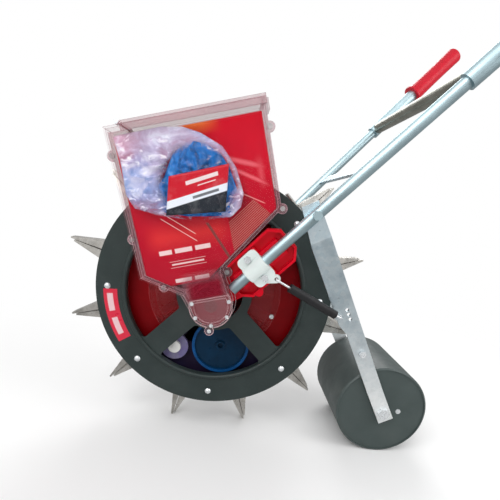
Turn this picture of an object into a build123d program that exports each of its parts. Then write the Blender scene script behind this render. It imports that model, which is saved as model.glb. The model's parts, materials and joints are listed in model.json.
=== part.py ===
"""Walk-behind roller seed planter: a drum wheel with opening beaks, a clear side hopper, push handles and a
press roller.

Millimetres, +Z up. The machine travels towards -X and the operator walks at +X. The wheel's axle lies along
Y, and the hopper is on the -Y side. Everything is drawn about the axle's centre and then set on the ground,
with the origin at the bottom centre of the whole machine.
"""
from build123d import *
import os
from math import cos, hypot, radians, sin, tan

# Wheel
BEAK_COUNT = 12
RIM_RADIUS = 205.0
DRUM_WIDTH = 130.0
DISC_THICKNESS = 3.0
RIM_LIP = 14.0
WINDOW_INSET = 53.0
WINDOW_CORNER = 7.0
SPOKE_WIDTH = 41.0
SPOKE_COUNT = 4
SPOKE_START_DEG = 45.0
DISC_HUB_RADIUS = 66.0
NEAR_HUB_HOLE_RADIUS = 50.0
BEAD_RADIUS = 4.0
WINDOW_LIP = 6.0
TREAD_INSET = 10.0
TREAD_THICKNESS = 3.0
RIM_BOLT_COUNT = 8
RIM_BOLT_INSET = 20.0
RIM_BOLT_HEAD_RADIUS = 5.5
RIM_BOLT_HEAD_HEIGHT = 3.2
RIM_BOLT_RADIUS = 3.0

# Beaks, each drawn with its length along +X and its leading side towards +Z
BEAK_LENGTH = 82.0
TIP_WIDTH = 3.0
TIP_HALF_BREADTH = 9.0
BEAK_BASE_HALF_WIDTH = 19.0
BEAK_BASE_HALF_BREADTH = 20.0
BEAK_WALL = 2.2
JAW_SPLIT_GAP = 0.8
MOVING_TIP_STEP = 7.0
MOVING_BASE_STEP = 3.5
FLANGE_THICKNESS = 3.0
FLANGE_LEAD = 28.0
FLANGE_TRAIL = 27.0
FLANGE_HALF_BREADTH = 28.0
PIN_RADIUS = 2.0
PIN_LEAD = 12.0
PIN_HEIGHT = 10.5
BARREL_RADIUS = 4.5
LUG_THICKNESS = 3.0
HEEL_LEAD = 46.0
HEEL_THICKNESS = 2.5
HEEL_HALF_BREADTH = 17.0
SPRING_WIRE = 1.2
SPRING_RADIUS = 4.2
SPRING_LENGTH = 4.0
SPRING_GAP = 0.3
SPRING_LEG_LEAD = 22.0

# Seed drum inside the wheel
DISTRIBUTOR_GAP = 0.5
DISTRIBUTOR_WALL = 3.0
DISTRIBUTOR_SIDE_GAP = 21.0
DISTRIBUTOR_MOUTH_RADIUS = 106.0
VANE_INNER_RADIUS = 62.0
OUTLET_WIDTH = 30.0
OUTLET_BREADTH = 32.0
COVER_RADIUS = 118.0
COVER_THICKNESS = 3.0
COVER_HOLE_RADIUS = 52.0
COVER_SCREW_COUNT = 3
COVER_SCREW_INSET = 6.0
COVER_SCREW_START_DEG = 220.0
COVER_GATE_DEG = 92.0
COVER_SCREW_HEAD_RADIUS = 4.0
COVER_SCREW_HEAD_HEIGHT = 2.0
SPARE_RADIUS = 52.0
SPARE_WIDTH = 10.0
SPARE_RIM = 5.0
SPARE_HUB_WALL = 3.0
SPARE_X = 17.0
SPARE_Z = -99.0
IDLER_RADIUS = 25.0
IDLER_WIDTH = 7.0
IDLER_CAP_RADIUS = 11.5
IDLER_CAP_HEIGHT = 4.0
IDLER_X = -67.0
IDLER_Z = -107.0
SPARE_BORE_RADIUS = 5.0

# Axle, hub and metering roller
AXLE_RADIUS = 10.0
BUSH_WALL = 3.0
RUNNING_CLEARANCE = 0.05
HUB_RADIUS = 20.0
HUB_FLANGE_RADIUS = 46.0
HUB_FLANGE_THICKNESS = 5.0
HUB_NEAR_Y = -25.0
METER_GAP = 0.7
METER_CELL_COUNT = 8
WIPER_THICKNESS = 4.0
WIPER_FOOT_RISE = 9.0
METER_CELL_RADIUS = 4.0
METER_CELL_DEPTH = 3.0
BOSS_RADIUS = 19.0
BOSS_LENGTH = 20.0
BOSS_GAP = 4.0
AXLE_OVERRUN = 4.0

# Hopper, drawn in a plane that leans forward with its corner at the axle
HOPPER_LEAN_DEG = 14.8
HOPPER_DISC_GAP = 7.0
HOPPER_BACK_DEPTH = 39.0
HOPPER_FRONT_DEPTH = 39.0
HOPPER_LEFT = -97.0
HOPPER_RIGHT = 128.0
HOPPER_TOP = 277.0
HOPPER_LEFT_FOOT = 60.0
HOPPER_RIGHT_FOOT = 127.0
HOPPER_THROAT_LEFT = (-40.0, 22.0)
HOPPER_THROAT_RIGHT = (26.0, 53.0)
HOPPER_WALL = 2.5
THROAT_ROUNDING = 10.0
SHELL_EDGE = 3.0
FLANGE_REACH = 5.0
SHELL_FLANGE = 3.0
SCREW_TAB_RADIUS = 8.0
SCREW_TAB_TUCK = 2.0
SCREW_RADIUS = 2.0
SCREW_HEAD_RADIUS = 4.0
SCREW_HEAD_HEIGHT = 2.4
TOP_SCREW_DROP = 33.0
SIDE_SCREW_DROP = 50.0
THROAT_SCREW_DROP = 11.0
FOOT_SCREW_DROP = 3.0
NECK_RADIUS = 33.0
NECK_SHORTFALL = 3.0
METER_WINDOW_RADIUS = 26.0
METER_COVER_THICKNESS = 3.0
METER_COVER_CHORD = 14.0
METER_WINDOW_CHORD = 9.0
METER_COVER_TAB = 38.0
METER_TAB_RADIUS = 7.0
METER_SCREW_HEAD_RADIUS = 3.0
METER_SCREW_HEAD_HEIGHT = 1.2
METER_SCREW_DEGS = (-186.0, -140.0, -85.0, -28.0, 22.0)
LID_THICKNESS = 3.0
LID_HINGE_INSET = 20.0
LID_BARREL_RADIUS = 4.0
LID_PIN_RADIUS = 1.8
LID_OVERHANG = 3.0
LID_CLEARANCE = 0.4
LATCH_DROP = 16.0
LID_SKIRT = 10.0
SPOUT_HALF_WIDTH = 15.0
SPOUT_TOP = -21.0
SPOUT_BOTTOM = -44.0
SPOUT_WALL = 2.0
SPOUT_ENTRY = 15.0
MOUTH_SILL = 3.0
PACKING_GAP = 0.4
LEAFLET_THICKNESS = 3.0
LEAFLET_TOP = 268.0
LEAFLET_FOOT = 36.0
LEAFLET_NOTCH = 12.0
BAG_WIDTH = 165.0
BAG_HEIGHT = 140.0
BAG_THICKNESS = 26.0
BAG_CORNER = 18.0
BAG_EDGE = 7.0
BAG_U = -8.0
BAG_V = 198.0

# Handle tubes: the lower end stands at TUBE_FOOT from the axle and the tubes splay outwards as they rise
TUBE_ANGLE_DEG = 47.7
TUBE_SPLAY_DEG = 7.4
TUBE_FOOT_X = 29.3
TUBE_DISC_GAP = 55.0
TUBE_FOOT_Z = 21.4
STAY_RADIUS = 9.0
STAY_WALL = 1.5
STAY_START = 2.0
STAY_LENGTH = 500.0
HANDLE_OVERLAP = 76.0
HANDLE_RADIUS = 12.5
GRIP_STEP = 119.0
GRIP_LENGTH = 128.0
GRIP_RADIUS = 16.0
GRIP_COLLAR_RADIUS = 20.0
GRIP_COLLAR_LENGTH = 7.0
GRIP_CAP = 5.0
GRIP_EDGE = 3.0
GRIP_WAIST = 0.8
CROSS_BAR_STEP = 14.0
CROSS_BAR_RADIUS = 11.0
STRAP_AT = 272.0
STRAP_WIDTH = 18.0
STRAP_THICKNESS = 5.0
FRAME_BOLT_RADIUS = 3.0
FRAME_BOLT_HEAD_RADIUS = 6.0
FRAME_BOLT_HEAD_HEIGHT = 4.0
HANDLE_BOLT_STEP = 46.0

# Hub brackets and tube clamps, drawn along the tube
BRACKET_START = 2.0
BRACKET_END = 121.0
BRACKET_HALF_WIDTH = 33.0
BRACKET_CORNER = 15.0
BRACKET_PLATE = 5.0
BRACKET_SETBACK = 13.0
BRACKET_RIM_WIDTH = 4.0
BRACKET_RIM_HEIGHT = 8.0
BRACKET_HOPPER_GAP = 1.0
LUG_AT = 14.0
LUG_RADIUS = 7.0
CLAMP_AT = 54.0
CLAMP_LENGTH = 36.0
CLAMP_HALF_WIDTH = 28.0
CLAMP_PLATE = 5.0
CLAMP_DOME_RADIUS = 14.0
CLAMP_FACE = -1.0
CLAMP_BOLT_OFFSET = 19.5
CLAMP_BOLT_RADIUS = 3.0
CLAMP_CORNER = 8.0
EAR_AT = 66.0
EAR_OFFSET = 33.0
EAR_RADIUS = 6.5
EAR_ROOT_RADIUS = 9.0
EAR_HOLE_RADIUS = 3.0
SEAT_CLEARANCE = 0.05
CUT_MARGIN = 1.0

# Press arms and press roller
ARM_PIVOT_AT = 173.0
ARM_WIDTH = 27.0
ARM_BULGE = 7.0
ARM_WIDE_FROM = 45.0
ARM_WIDE_TO = 186.0
ARM_TAPER = 22.0
ARM_THICKNESS = 4.0
ARM_END = 18.0
ARM_FLAT_TOP = 40.0
ARM_FLAT_FOOT = 45.0
ARM_TUBE_GAP = 3.5
ARM_NUT_GAP = 0.6
PIVOT_BOLT_RADIUS = 4.0
PIVOT_HEAD_RADIUS = 7.5
PIVOT_HEAD_HEIGHT = 5.0
MID_BOLT_AT = 252.0
LINK_HOLE_AT = 164.0
LINK_HOLE_PITCH = 9.0
LINK_HOLE_COUNT = 3
LINK_HOLE_RADIUS = 3.0
LINK_LUG_AT = 172.0
LINK_LUG_OFFSET = 14.0
LINK_ROD_RADIUS = 1.6
LINK_STANDOFF = 6.0
LINK_BEND = 5.0
LINK_TAIL = 1.2
SLEEVE_RADIUS = 7.0
SLEEVE_START = 24.0
SLEEVE_LENGTH = 90.0
ROLLER_X = 318.0
ROLLER_RADIUS = 82.0
ROLLER_HALF_LENGTH = 86.0
ROLLER_WALL = 4.0
ROLLER_CHAMFER = 2.5
ROLLER_END_INSET = 1.5
ROLLER_PLUG_RADIUS = 4.5
ROLLER_PLUG_OFFSET = 31.0
ROLLER_END_THICKNESS = 5.0
ROLLER_HUB_RADIUS = 18.0
ROLLER_HUB_LENGTH = 18.0
ROLLER_AXLE_RADIUS = 8.0
ROLLER_ARM_GAP = 3.0
NUT_RADIUS = 10.0
NUT_HEIGHT = 7.0

# Derived places
BEAK_STEP_DEG = 360.0 / BEAK_COUNT
FIRST_BEAK_DEG = 270.0 + BEAK_STEP_DEG / 2.0
HALF_DRUM = DRUM_WIDTH / 2.0
DISTRIBUTOR_HALF_DEPTH = HALF_DRUM - DISTRIBUTOR_SIDE_GAP
HOPPER_BACK_Y = -HALF_DRUM - HOPPER_DISC_GAP
HOPPER_SPLIT_Y = HOPPER_BACK_Y - HOPPER_BACK_DEPTH
HOPPER_FRONT_Y = HOPPER_SPLIT_Y - HOPPER_FRONT_DEPTH
NECK_BACK_Y = HOPPER_SPLIT_Y + NECK_SHORTFALL
SPOUT_END_Y = -HALF_DRUM + SPOUT_ENTRY
TUBE_FOOT_Y = -HALF_DRUM - TUBE_DISC_GAP
WINDOW_RADIUS = RIM_RADIUS - WINDOW_INSET
RIM_BOLT_CIRCLE = RIM_RADIUS - RIM_BOLT_INSET
TREAD_RADIUS = RIM_RADIUS - TREAD_INSET
TREAD_INNER = TREAD_RADIUS - TREAD_THICKNESS
FLANGE_BASE = TREAD_RADIUS
FLANGE_TOP = FLANGE_BASE + FLANGE_THICKNESS
PIN_AT_RADIUS = FLANGE_TOP + PIN_HEIGHT
MOVING_JAW_BASE_RADIUS = PIN_AT_RADIUS + MOVING_BASE_STEP
TIP_RADIUS = FLANGE_TOP + BEAK_LENGTH
MOVING_TIP_RADIUS = TIP_RADIUS - MOVING_TIP_STEP
REST_ANGLE = radians(BEAK_STEP_DEG / 2.0)
GROUND_Z = -(TIP_RADIUS * cos(REST_ANGLE) + TIP_WIDTH / 2.0 * sin(REST_ANGLE))
ROLLER_Z = GROUND_Z + ROLLER_RADIUS
DISTRIBUTOR_RADIUS = TREAD_INNER - DISTRIBUTOR_GAP
COVER_BACK_Y = -DISTRIBUTOR_HALF_DEPTH
COVER_FRONT_Y = COVER_BACK_Y - COVER_THICKNESS
COVER_SCREW_CIRCLE = COVER_RADIUS - COVER_SCREW_INSET
BUSH_RADIUS = AXLE_RADIUS + BUSH_WALL
CHAMBER_RADIUS = NECK_RADIUS - HOPPER_WALL
METER_RADIUS = CHAMBER_RADIUS - METER_GAP
METER_FRONT_Y = HOPPER_FRONT_Y + HOPPER_WALL + METER_GAP
METER_BACK_Y = NECK_BACK_Y - HOPPER_WALL - METER_GAP
TUBE_ANGLE = radians(TUBE_ANGLE_DEG)
TUBE_SPLAY = radians(TUBE_SPLAY_DEG)
TUBE_FOOT = Vector(TUBE_FOOT_X, TUBE_FOOT_Y, TUBE_FOOT_Z)
TUBE_DIR = Vector(cos(TUBE_ANGLE) * cos(TUBE_SPLAY), -sin(TUBE_SPLAY), sin(TUBE_ANGLE) * cos(TUBE_SPLAY))
TUBE_OUT = Vector(-cos(TUBE_ANGLE) * sin(TUBE_SPLAY), -cos(TUBE_SPLAY), -sin(TUBE_ANGLE) * sin(TUBE_SPLAY))
TUBE_UP = Vector(-sin(TUBE_ANGLE), 0, cos(TUBE_ANGLE))
# Sheets on the tube are drawn with x along the tube, y up across it and z outwards from the machine
TUBE_SHEET = Plane(origin=TUBE_FOOT, x_dir=TUBE_DIR, z_dir=TUBE_OUT)
TUBE_END = Plane(origin=TUBE_FOOT, x_dir=TUBE_OUT, z_dir=TUBE_DIR)
HANDLE_START = STAY_LENGTH - HANDLE_OVERLAP
CROSS_BAR_AT = HANDLE_START + CROSS_BAR_STEP
HANDLE_BOLT_AT = HANDLE_START + HANDLE_BOLT_STEP
GRIP_START = HANDLE_START + GRIP_STEP
HOPPER_LEAN = radians(HOPPER_LEAN_DEG)
BAG_FRONT_Y = HOPPER_FRONT_Y + HOPPER_WALL + PACKING_GAP
BAG_BACK_Y = BAG_FRONT_Y + BAG_THICKNESS
LEAFLET_BACK_Y = BAG_BACK_Y + PACKING_GAP + LEAFLET_THICKNESS
SIDE = Plane(origin=(0, 0, 0), x_dir=(1, 0, 0), z_dir=(0, -1, 0))
ARM_PIVOT = TUBE_FOOT + TUBE_DIR * ARM_PIVOT_AT
ARM_SPAN = hypot(ROLLER_X - ARM_PIVOT.X, ROLLER_Z - ARM_PIVOT.Z)
ARM_DIR = Vector((ROLLER_X - ARM_PIVOT.X) / ARM_SPAN, 0, (ROLLER_Z - ARM_PIVOT.Z) / ARM_SPAN)
ARM_REAR = Vector(-ARM_DIR.Z, 0, ARM_DIR.X)
ARM_TOP_Y = ARM_PIVOT.Y + STAY_RADIUS + ARM_TUBE_GAP + ARM_THICKNESS / 2.0
ARM_FOOT_Y = -(ROLLER_HALF_LENGTH + ROLLER_ARM_GAP + ARM_THICKNESS / 2.0)


def hopper_plane(y):
    """The hopper's drawing plane at a depth: x along its lid, y up its side, z towards the near side."""
    return Plane(origin=(0, y, 0), x_dir=(cos(HOPPER_LEAN), 0, sin(HOPPER_LEAN)), z_dir=(0, -1, 0))


def across(radius, length_from, length_to, x=0.0, z=0.0):
    """A round bar along Y between two depths."""
    bar = Cylinder(radius, length_to - length_from, rotation=(90, 0, 0))
    return Pos(x, (length_from + length_to) / 2.0, z) * bar


def spun(shape, angle_deg):
    """A copy turned about the axle, from +X towards +Z."""
    return Rot(0, -angle_deg, 0) * shape


def mirrored(shape):
    """The same piece on the far side."""
    return mirror(shape, about=Plane.XZ)


def both_sides(shape):
    """The near piece and its far twin, as separate solids."""
    return Compound(children=[*shape.solids(), *mirrored(shape).solids()])


def group(shapes):
    """Separate solids that share one node."""
    return Compound(children=[solid for shape in shapes for solid in shape.solids()])


def beak_section(radius, lead_from, lead_to, half_breadth):
    """A rectangle across a beak at a distance from the axle."""
    middle = (lead_from + lead_to) / 2.0
    sheet = Plane(origin=(radius, 0, middle), x_dir=(0, 1, 0), z_dir=(1, 0, 0))
    return sheet * Rectangle(2.0 * half_breadth, lead_to - lead_from)


def wedge(inner, outer):
    """A straight-sided solid between two beak sections."""
    return loft([beak_section(*inner), beak_section(*outer)], ruled=True)


def block(x_from, x_to, y_from, y_to, z_from, z_to):
    """A box between two corners."""
    box = Box(x_to - x_from, y_to - y_from, z_to - z_from)
    return Pos((x_from + x_to) / 2.0, (y_from + y_to) / 2.0, (z_from + z_to) / 2.0) * box


# Wheel discs
def disc_windows():
    """The openings between a disc's crossed spokes, with rounded corners."""
    windows = Circle(WINDOW_RADIUS) - Circle(DISC_HUB_RADIUS)
    spoke = Pos(RIM_RADIUS / 2.0, 0) * Rectangle(RIM_RADIUS, SPOKE_WIDTH)
    for k in range(SPOKE_COUNT):
        windows -= Rot(0, 0, SPOKE_START_DEG + k * 360.0 / SPOKE_COUNT) * spoke
    return fillet(windows.vertices(), WINDOW_CORNER)


def side_disc(hole_radius):
    """The near pressed disc: crossed spokes, a beaded collar round the windows and a lip at the rim."""
    web = Circle(RIM_RADIUS) - disc_windows() - Circle(hole_radius)
    face = Plane(origin=(0, -HALF_DRUM + DISC_THICKNESS, 0), x_dir=(1, 0, 0), z_dir=(0, -1, 0))
    disc = extrude(face * web, DISC_THICKNESS)
    lip = Circle(RIM_RADIUS) - Circle(RIM_RADIUS - DISC_THICKNESS)
    disc += extrude(face * lip, -RIM_LIP)
    collar = Circle(WINDOW_RADIUS + DISC_THICKNESS) - Circle(WINDOW_RADIUS)
    disc += extrude(face * collar, -WINDOW_LIP)
    bead = Torus(WINDOW_RADIUS + BEAD_RADIUS, BEAD_RADIUS, rotation=(90, 0, 0))
    disc += Pos(0, -HALF_DRUM, 0) * bead - across(RIM_RADIUS, -HALF_DRUM + DISC_THICKNESS, HALF_DRUM)
    for k in range(RIM_BOLT_COUNT):
        disc -= spun(across(RIM_BOLT_RADIUS, -DRUM_WIDTH, 0, RIM_BOLT_CIRCLE), rim_bolt_angle(k))
    return disc


def rim_bolt_angle(k):
    """The angle of one rim bolt, on a spoke or midway between two."""
    return k * 360.0 / RIM_BOLT_COUNT


def far_disc():
    """The far disc has the same ring and spokes, and its hub hole seats on the drum's hub."""
    return mirrored(side_disc(HUB_RADIUS))


def tread_band():
    """The drum's skin between the discs, with a window under each beak."""
    band = across(TREAD_RADIUS, -HALF_DRUM + DISC_THICKNESS, HALF_DRUM - DISC_THICKNESS)
    band -= across(TREAD_INNER, -HALF_DRUM, HALF_DRUM)
    window = block(TREAD_INNER / 2.0, RIM_RADIUS, -OUTLET_BREADTH / 2.0, OUTLET_BREADTH / 2.0,
                   -OUTLET_WIDTH / 2.0, OUTLET_WIDTH / 2.0)
    for k in range(BEAK_COUNT):
        band -= spun(window, FIRST_BEAK_DEG + k * BEAK_STEP_DEG)
    return band


def rim_bolts():
    """Domed bolts through each disc near the rim."""
    dome_radius = (RIM_BOLT_HEAD_RADIUS ** 2 + RIM_BOLT_HEAD_HEIGHT ** 2) / (2.0 * RIM_BOLT_HEAD_HEIGHT)
    head = Sphere(dome_radius) & block(-dome_radius, dome_radius, -dome_radius,
                                       -dome_radius + RIM_BOLT_HEAD_HEIGHT, -dome_radius, dome_radius)
    head = Pos(0, -HALF_DRUM - RIM_BOLT_HEAD_HEIGHT + dome_radius, 0) * head
    bolt = head + across(RIM_BOLT_RADIUS, -HALF_DRUM, -HALF_DRUM + RIM_LIP)
    near = [spun(Pos(RIM_BOLT_CIRCLE, 0, 0) * bolt, rim_bolt_angle(k)) for k in range(RIM_BOLT_COUNT)]
    return group([*near, *[mirrored(one) for one in near]])


# Beaks
def fixed_jaw():
    """The jaw that carries the load: a pointed channel on a flange, with lugs for the hinge pin."""
    half = BEAK_BASE_HALF_WIDTH
    tip = TIP_WIDTH / 2.0
    base = (FLANGE_TOP, -half, 0.0, BEAK_BASE_HALF_BREADTH)
    outer = wedge(base, (TIP_RADIUS, -tip, tip, TIP_HALF_BREADTH))
    point = MOVING_TIP_RADIUS - BEAK_WALL
    inner = wedge(
        (FLANGE_TOP - FLANGE_THICKNESS, -half + BEAK_WALL, half, BEAK_BASE_HALF_BREADTH - BEAK_WALL),
        (point, -tip + BEAK_WALL, tip + half, TIP_HALF_BREADTH - BEAK_WALL),
    )
    flange = block(FLANGE_BASE - 2.0 * FLANGE_THICKNESS, FLANGE_TOP,
                   -FLANGE_HALF_BREADTH, FLANGE_HALF_BREADTH, -FLANGE_TRAIL, FLANGE_LEAD)
    flange -= across(FLANGE_BASE + SEAT_CLEARANCE, -DRUM_WIDTH, DRUM_WIDTH)
    flange -= block(0, TIP_RADIUS, -OUTLET_BREADTH / 2.0, OUTLET_BREADTH / 2.0, -half + BEAK_WALL, half)
    jaw = outer - inner + flange
    lug_from = lug_near()
    lug = block(FLANGE_TOP, PIN_AT_RADIUS, lug_from, lug_from + LUG_THICKNESS,
                PIN_LEAD - BARREL_RADIUS, PIN_LEAD + BARREL_RADIUS)
    lug += across(BARREL_RADIUS, lug_from, lug_from + LUG_THICKNESS, PIN_AT_RADIUS, PIN_LEAD)
    jaw += lug + mirrored(lug)
    return jaw - across(PIN_RADIUS, -TIP_RADIUS, TIP_RADIUS, PIN_AT_RADIUS, PIN_LEAD)


def moving_jaw():
    """The jaw that opens: a shorter channel with a hinge barrel and the heel plate that the soil presses."""
    half = BEAK_BASE_HALF_WIDTH
    split = JAW_SPLIT_GAP + TIP_WIDTH / 2.0
    base = (MOVING_JAW_BASE_RADIUS, split, half, BEAK_BASE_HALF_BREADTH)
    tip = (MOVING_TIP_RADIUS, split, split + TIP_WIDTH, TIP_HALF_BREADTH)
    hollow_base = (MOVING_JAW_BASE_RADIUS, 0.0, half - BEAK_WALL, BEAK_BASE_HALF_BREADTH - BEAK_WALL)
    hollow_tip = (MOVING_TIP_RADIUS, 0.0, split + TIP_WIDTH - BEAK_WALL, TIP_HALF_BREADTH - BEAK_WALL)
    jaw = wedge(base, tip) - wedge(hollow_base, hollow_tip)
    barrel = across(BARREL_RADIUS, -BEAK_BASE_HALF_BREADTH, BEAK_BASE_HALF_BREADTH, PIN_AT_RADIUS, PIN_LEAD)
    cheek = block(PIN_AT_RADIUS, MOVING_JAW_BASE_RADIUS + BEAK_WALL, BEAK_BASE_HALF_BREADTH - BEAK_WALL,
                  BEAK_BASE_HALF_BREADTH, PIN_LEAD - BARREL_RADIUS, PIN_LEAD + BARREL_RADIUS)
    jaw += barrel + cheek + mirrored(cheek)
    jaw += block(PIN_AT_RADIUS, PIN_AT_RADIUS + HEEL_THICKNESS, -HEEL_HALF_BREADTH, HEEL_HALF_BREADTH,
                 PIN_LEAD, HEEL_LEAD)
    return jaw - across(PIN_RADIUS + RUNNING_CLEARANCE, -DRUM_WIDTH, DRUM_WIDTH, PIN_AT_RADIUS, PIN_LEAD)


def jaw_pin():
    """The hinge pin of one beak, held in the lugs."""
    reach = lug_near() + LUG_THICKNESS
    return across(PIN_RADIUS, -reach, reach, PIN_AT_RADIUS, PIN_LEAD)


def lug_near():
    """The inner face of a hinge lug, outside the spring."""
    return BEAK_BASE_HALF_BREADTH + SPRING_LENGTH + 2.0 * SPRING_GAP


def jaw_spring():
    """The pair of torsion springs that hold one beak shut, round its pin, each with a leg on the flange."""
    start = BEAK_BASE_HALF_BREADTH + SPRING_GAP
    end = start + SPRING_LENGTH
    coil = across(SPRING_RADIUS, start, end, PIN_AT_RADIUS, PIN_LEAD)
    leg = block(FLANGE_TOP, FLANGE_TOP + SPRING_WIRE, start, start + SPRING_WIRE, PIN_LEAD, SPRING_LEG_LEAD)
    leg += block(FLANGE_TOP, PIN_AT_RADIUS, start, start + SPRING_WIRE, PIN_LEAD, PIN_LEAD + SPRING_WIRE)
    coil = coil + leg - across(PIN_RADIUS + SEAT_CLEARANCE, -DRUM_WIDTH, DRUM_WIDTH, PIN_AT_RADIUS, PIN_LEAD)
    return group([coil, mirrored(coil)])


# Seed drum
def seed_distributor():
    """A dish with a chute to every beak: outer wall, back, front flange and vanes between the chutes."""
    deep = DISTRIBUTOR_HALF_DEPTH
    wall = DISTRIBUTOR_WALL
    dish = across(DISTRIBUTOR_RADIUS, -deep, deep)
    dish -= across(DISTRIBUTOR_RADIUS - wall, -deep + wall, deep - wall)
    dish -= across(DISTRIBUTOR_MOUTH_RADIUS, -deep - wall, 0)
    dish -= across(HUB_RADIUS, 0, deep + wall)
    vane = block(VANE_INNER_RADIUS, DISTRIBUTOR_RADIUS - wall / 2.0, -deep + wall, deep - wall / 2.0,
                 -wall / 2.0, wall / 2.0)
    outlet = block(DISTRIBUTOR_MOUTH_RADIUS, RIM_RADIUS, -OUTLET_BREADTH / 2.0, OUTLET_BREADTH / 2.0,
                   -OUTLET_WIDTH / 2.0, OUTLET_WIDTH / 2.0)
    for k in range(BEAK_COUNT):
        angle = FIRST_BEAK_DEG + k * BEAK_STEP_DEG
        dish -= spun(outlet, angle)
        dish += spun(vane, angle + BEAK_STEP_DEG / 2.0)
    hole = across(SCREW_RADIUS, -deep - wall, -deep + 2.0 * wall, COVER_SCREW_CIRCLE)
    for k in range(COVER_SCREW_COUNT):
        dish -= spun(hole, cover_screw_angle(k))
    return dish


def cover_screw_angle(k):
    """The angle of one cover screw, clear of the vanes."""
    return COVER_SCREW_START_DEG + k * 360.0 / COVER_SCREW_COUNT


def distributor_cover():
    """The clear ring that closes the dish, open at the foot where the lowest chutes fill."""
    half_gate = COVER_RADIUS * tan(radians(COVER_GATE_DEG / 2.0))
    gate = Polygon((0, 0), (-half_gate, -COVER_RADIUS), (half_gate, -COVER_RADIUS), align=None)
    ring = Circle(COVER_RADIUS) - Circle(COVER_HOLE_RADIUS) - gate
    front = Plane(origin=(0, COVER_BACK_Y, 0), x_dir=(1, 0, 0), z_dir=(0, -1, 0))
    cover = extrude(front * ring, COVER_THICKNESS)
    for k in range(COVER_SCREW_COUNT):
        cover -= spun(across(SCREW_RADIUS, -HALF_DRUM, 0, COVER_SCREW_CIRCLE), cover_screw_angle(k))
    return cover


def cover_screws():
    """Screws round the clear cover."""
    screw = across(COVER_SCREW_HEAD_RADIUS, COVER_FRONT_Y - COVER_SCREW_HEAD_HEIGHT, COVER_FRONT_Y)
    screw += across(SCREW_RADIUS, COVER_FRONT_Y, COVER_BACK_Y + DISTRIBUTOR_WALL)
    screw = Pos(COVER_SCREW_CIRCLE, 0, 0) * screw
    return group([spun(screw, cover_screw_angle(k)) for k in range(COVER_SCREW_COUNT)])


def spare_roller():
    """The spare metering disc on the dish's front flange: a rim, a web and a hub."""
    back = COVER_BACK_Y
    disc = across(SPARE_RADIUS, back - SPARE_WIDTH, back, SPARE_X, SPARE_Z)
    disc -= across(SPARE_RADIUS - SPARE_RIM, back - SPARE_WIDTH, back - SPARE_WIDTH / 2.0, SPARE_X, SPARE_Z)
    disc += across(SPARE_BORE_RADIUS + SPARE_HUB_WALL, back - SPARE_WIDTH, back, SPARE_X, SPARE_Z)
    return disc - across(SPARE_BORE_RADIUS, back - SPARE_WIDTH, back - SPARE_WIDTH / 2.0, SPARE_X, SPARE_Z)


def idler_disc():
    """The smaller spare disc beside it, with its raised cap."""
    back = COVER_BACK_Y
    disc = across(IDLER_RADIUS, back - IDLER_WIDTH, back, IDLER_X, IDLER_Z)
    disc += across(IDLER_CAP_RADIUS, back - IDLER_WIDTH - IDLER_CAP_HEIGHT, back, IDLER_X, IDLER_Z)
    return disc


# Axle, hub and metering roller
def axle_shaft():
    """The live axle, from the metering roller to the far bush."""
    return across(AXLE_RADIUS, METER_FRONT_Y + METER_GAP, -boss_near_y() + AXLE_OVERRUN)


def boss_near_y():
    """The outer end of the near bearing boss."""
    return NECK_BACK_Y + BOSS_GAP


def drum_hub():
    """The spool that fixes the drum's back and the far disc to the axle."""
    hub = across(HUB_RADIUS, HUB_NEAR_Y, HALF_DRUM)
    hub += across(HUB_FLANGE_RADIUS, DISTRIBUTOR_HALF_DEPTH, DISTRIBUTOR_HALF_DEPTH + HUB_FLANGE_THICKNESS)
    return hub - across(AXLE_RADIUS, -DRUM_WIDTH, DRUM_WIDTH)


def metering_roller():
    """The celled roller that picks seed up in the hopper's neck."""
    roller = across(METER_RADIUS, METER_FRONT_Y, METER_BACK_Y) - across(AXLE_RADIUS, HOPPER_FRONT_Y, 0)
    middle = (METER_FRONT_Y + METER_BACK_Y) / 2.0
    cell = Cylinder(METER_CELL_RADIUS, 2.0 * METER_CELL_DEPTH, rotation=(0, 90, 0))
    cell = Pos(METER_RADIUS, middle, 0) * cell
    for k in range(METER_CELL_COUNT):
        roller -= spun(cell, k * 360.0 / METER_CELL_COUNT)
    return roller


# Hopper
def hopper_body():
    """The outline of the seed box above its throat."""
    left_foot = (HOPPER_LEFT, HOPPER_LEFT_FOOT)
    right_foot = (HOPPER_RIGHT, HOPPER_RIGHT_FOOT)
    corners = [(HOPPER_LEFT, HOPPER_TOP), (HOPPER_RIGHT, HOPPER_TOP), right_foot, HOPPER_THROAT_RIGHT,
               HOPPER_THROAT_LEFT, left_foot]
    return Polygon(*reversed(corners), align=None)


def hopper_throat():
    """The throat below the seed box, between its feet and the round neck."""
    return Polygon(HOPPER_THROAT_LEFT, (-NECK_RADIUS, 0), (NECK_RADIUS, 0), HOPPER_THROAT_RIGHT, align=None)


def hopper_outline():
    """The seed box with its throat and the round neck about the axle."""
    outline = hopper_body() + hopper_throat() + Circle(NECK_RADIUS)
    bend = outline.vertices().sort_by_distance((*HOPPER_THROAT_RIGHT, 0))[0]
    return fillet(bend, THROAT_ROUNDING)


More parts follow.
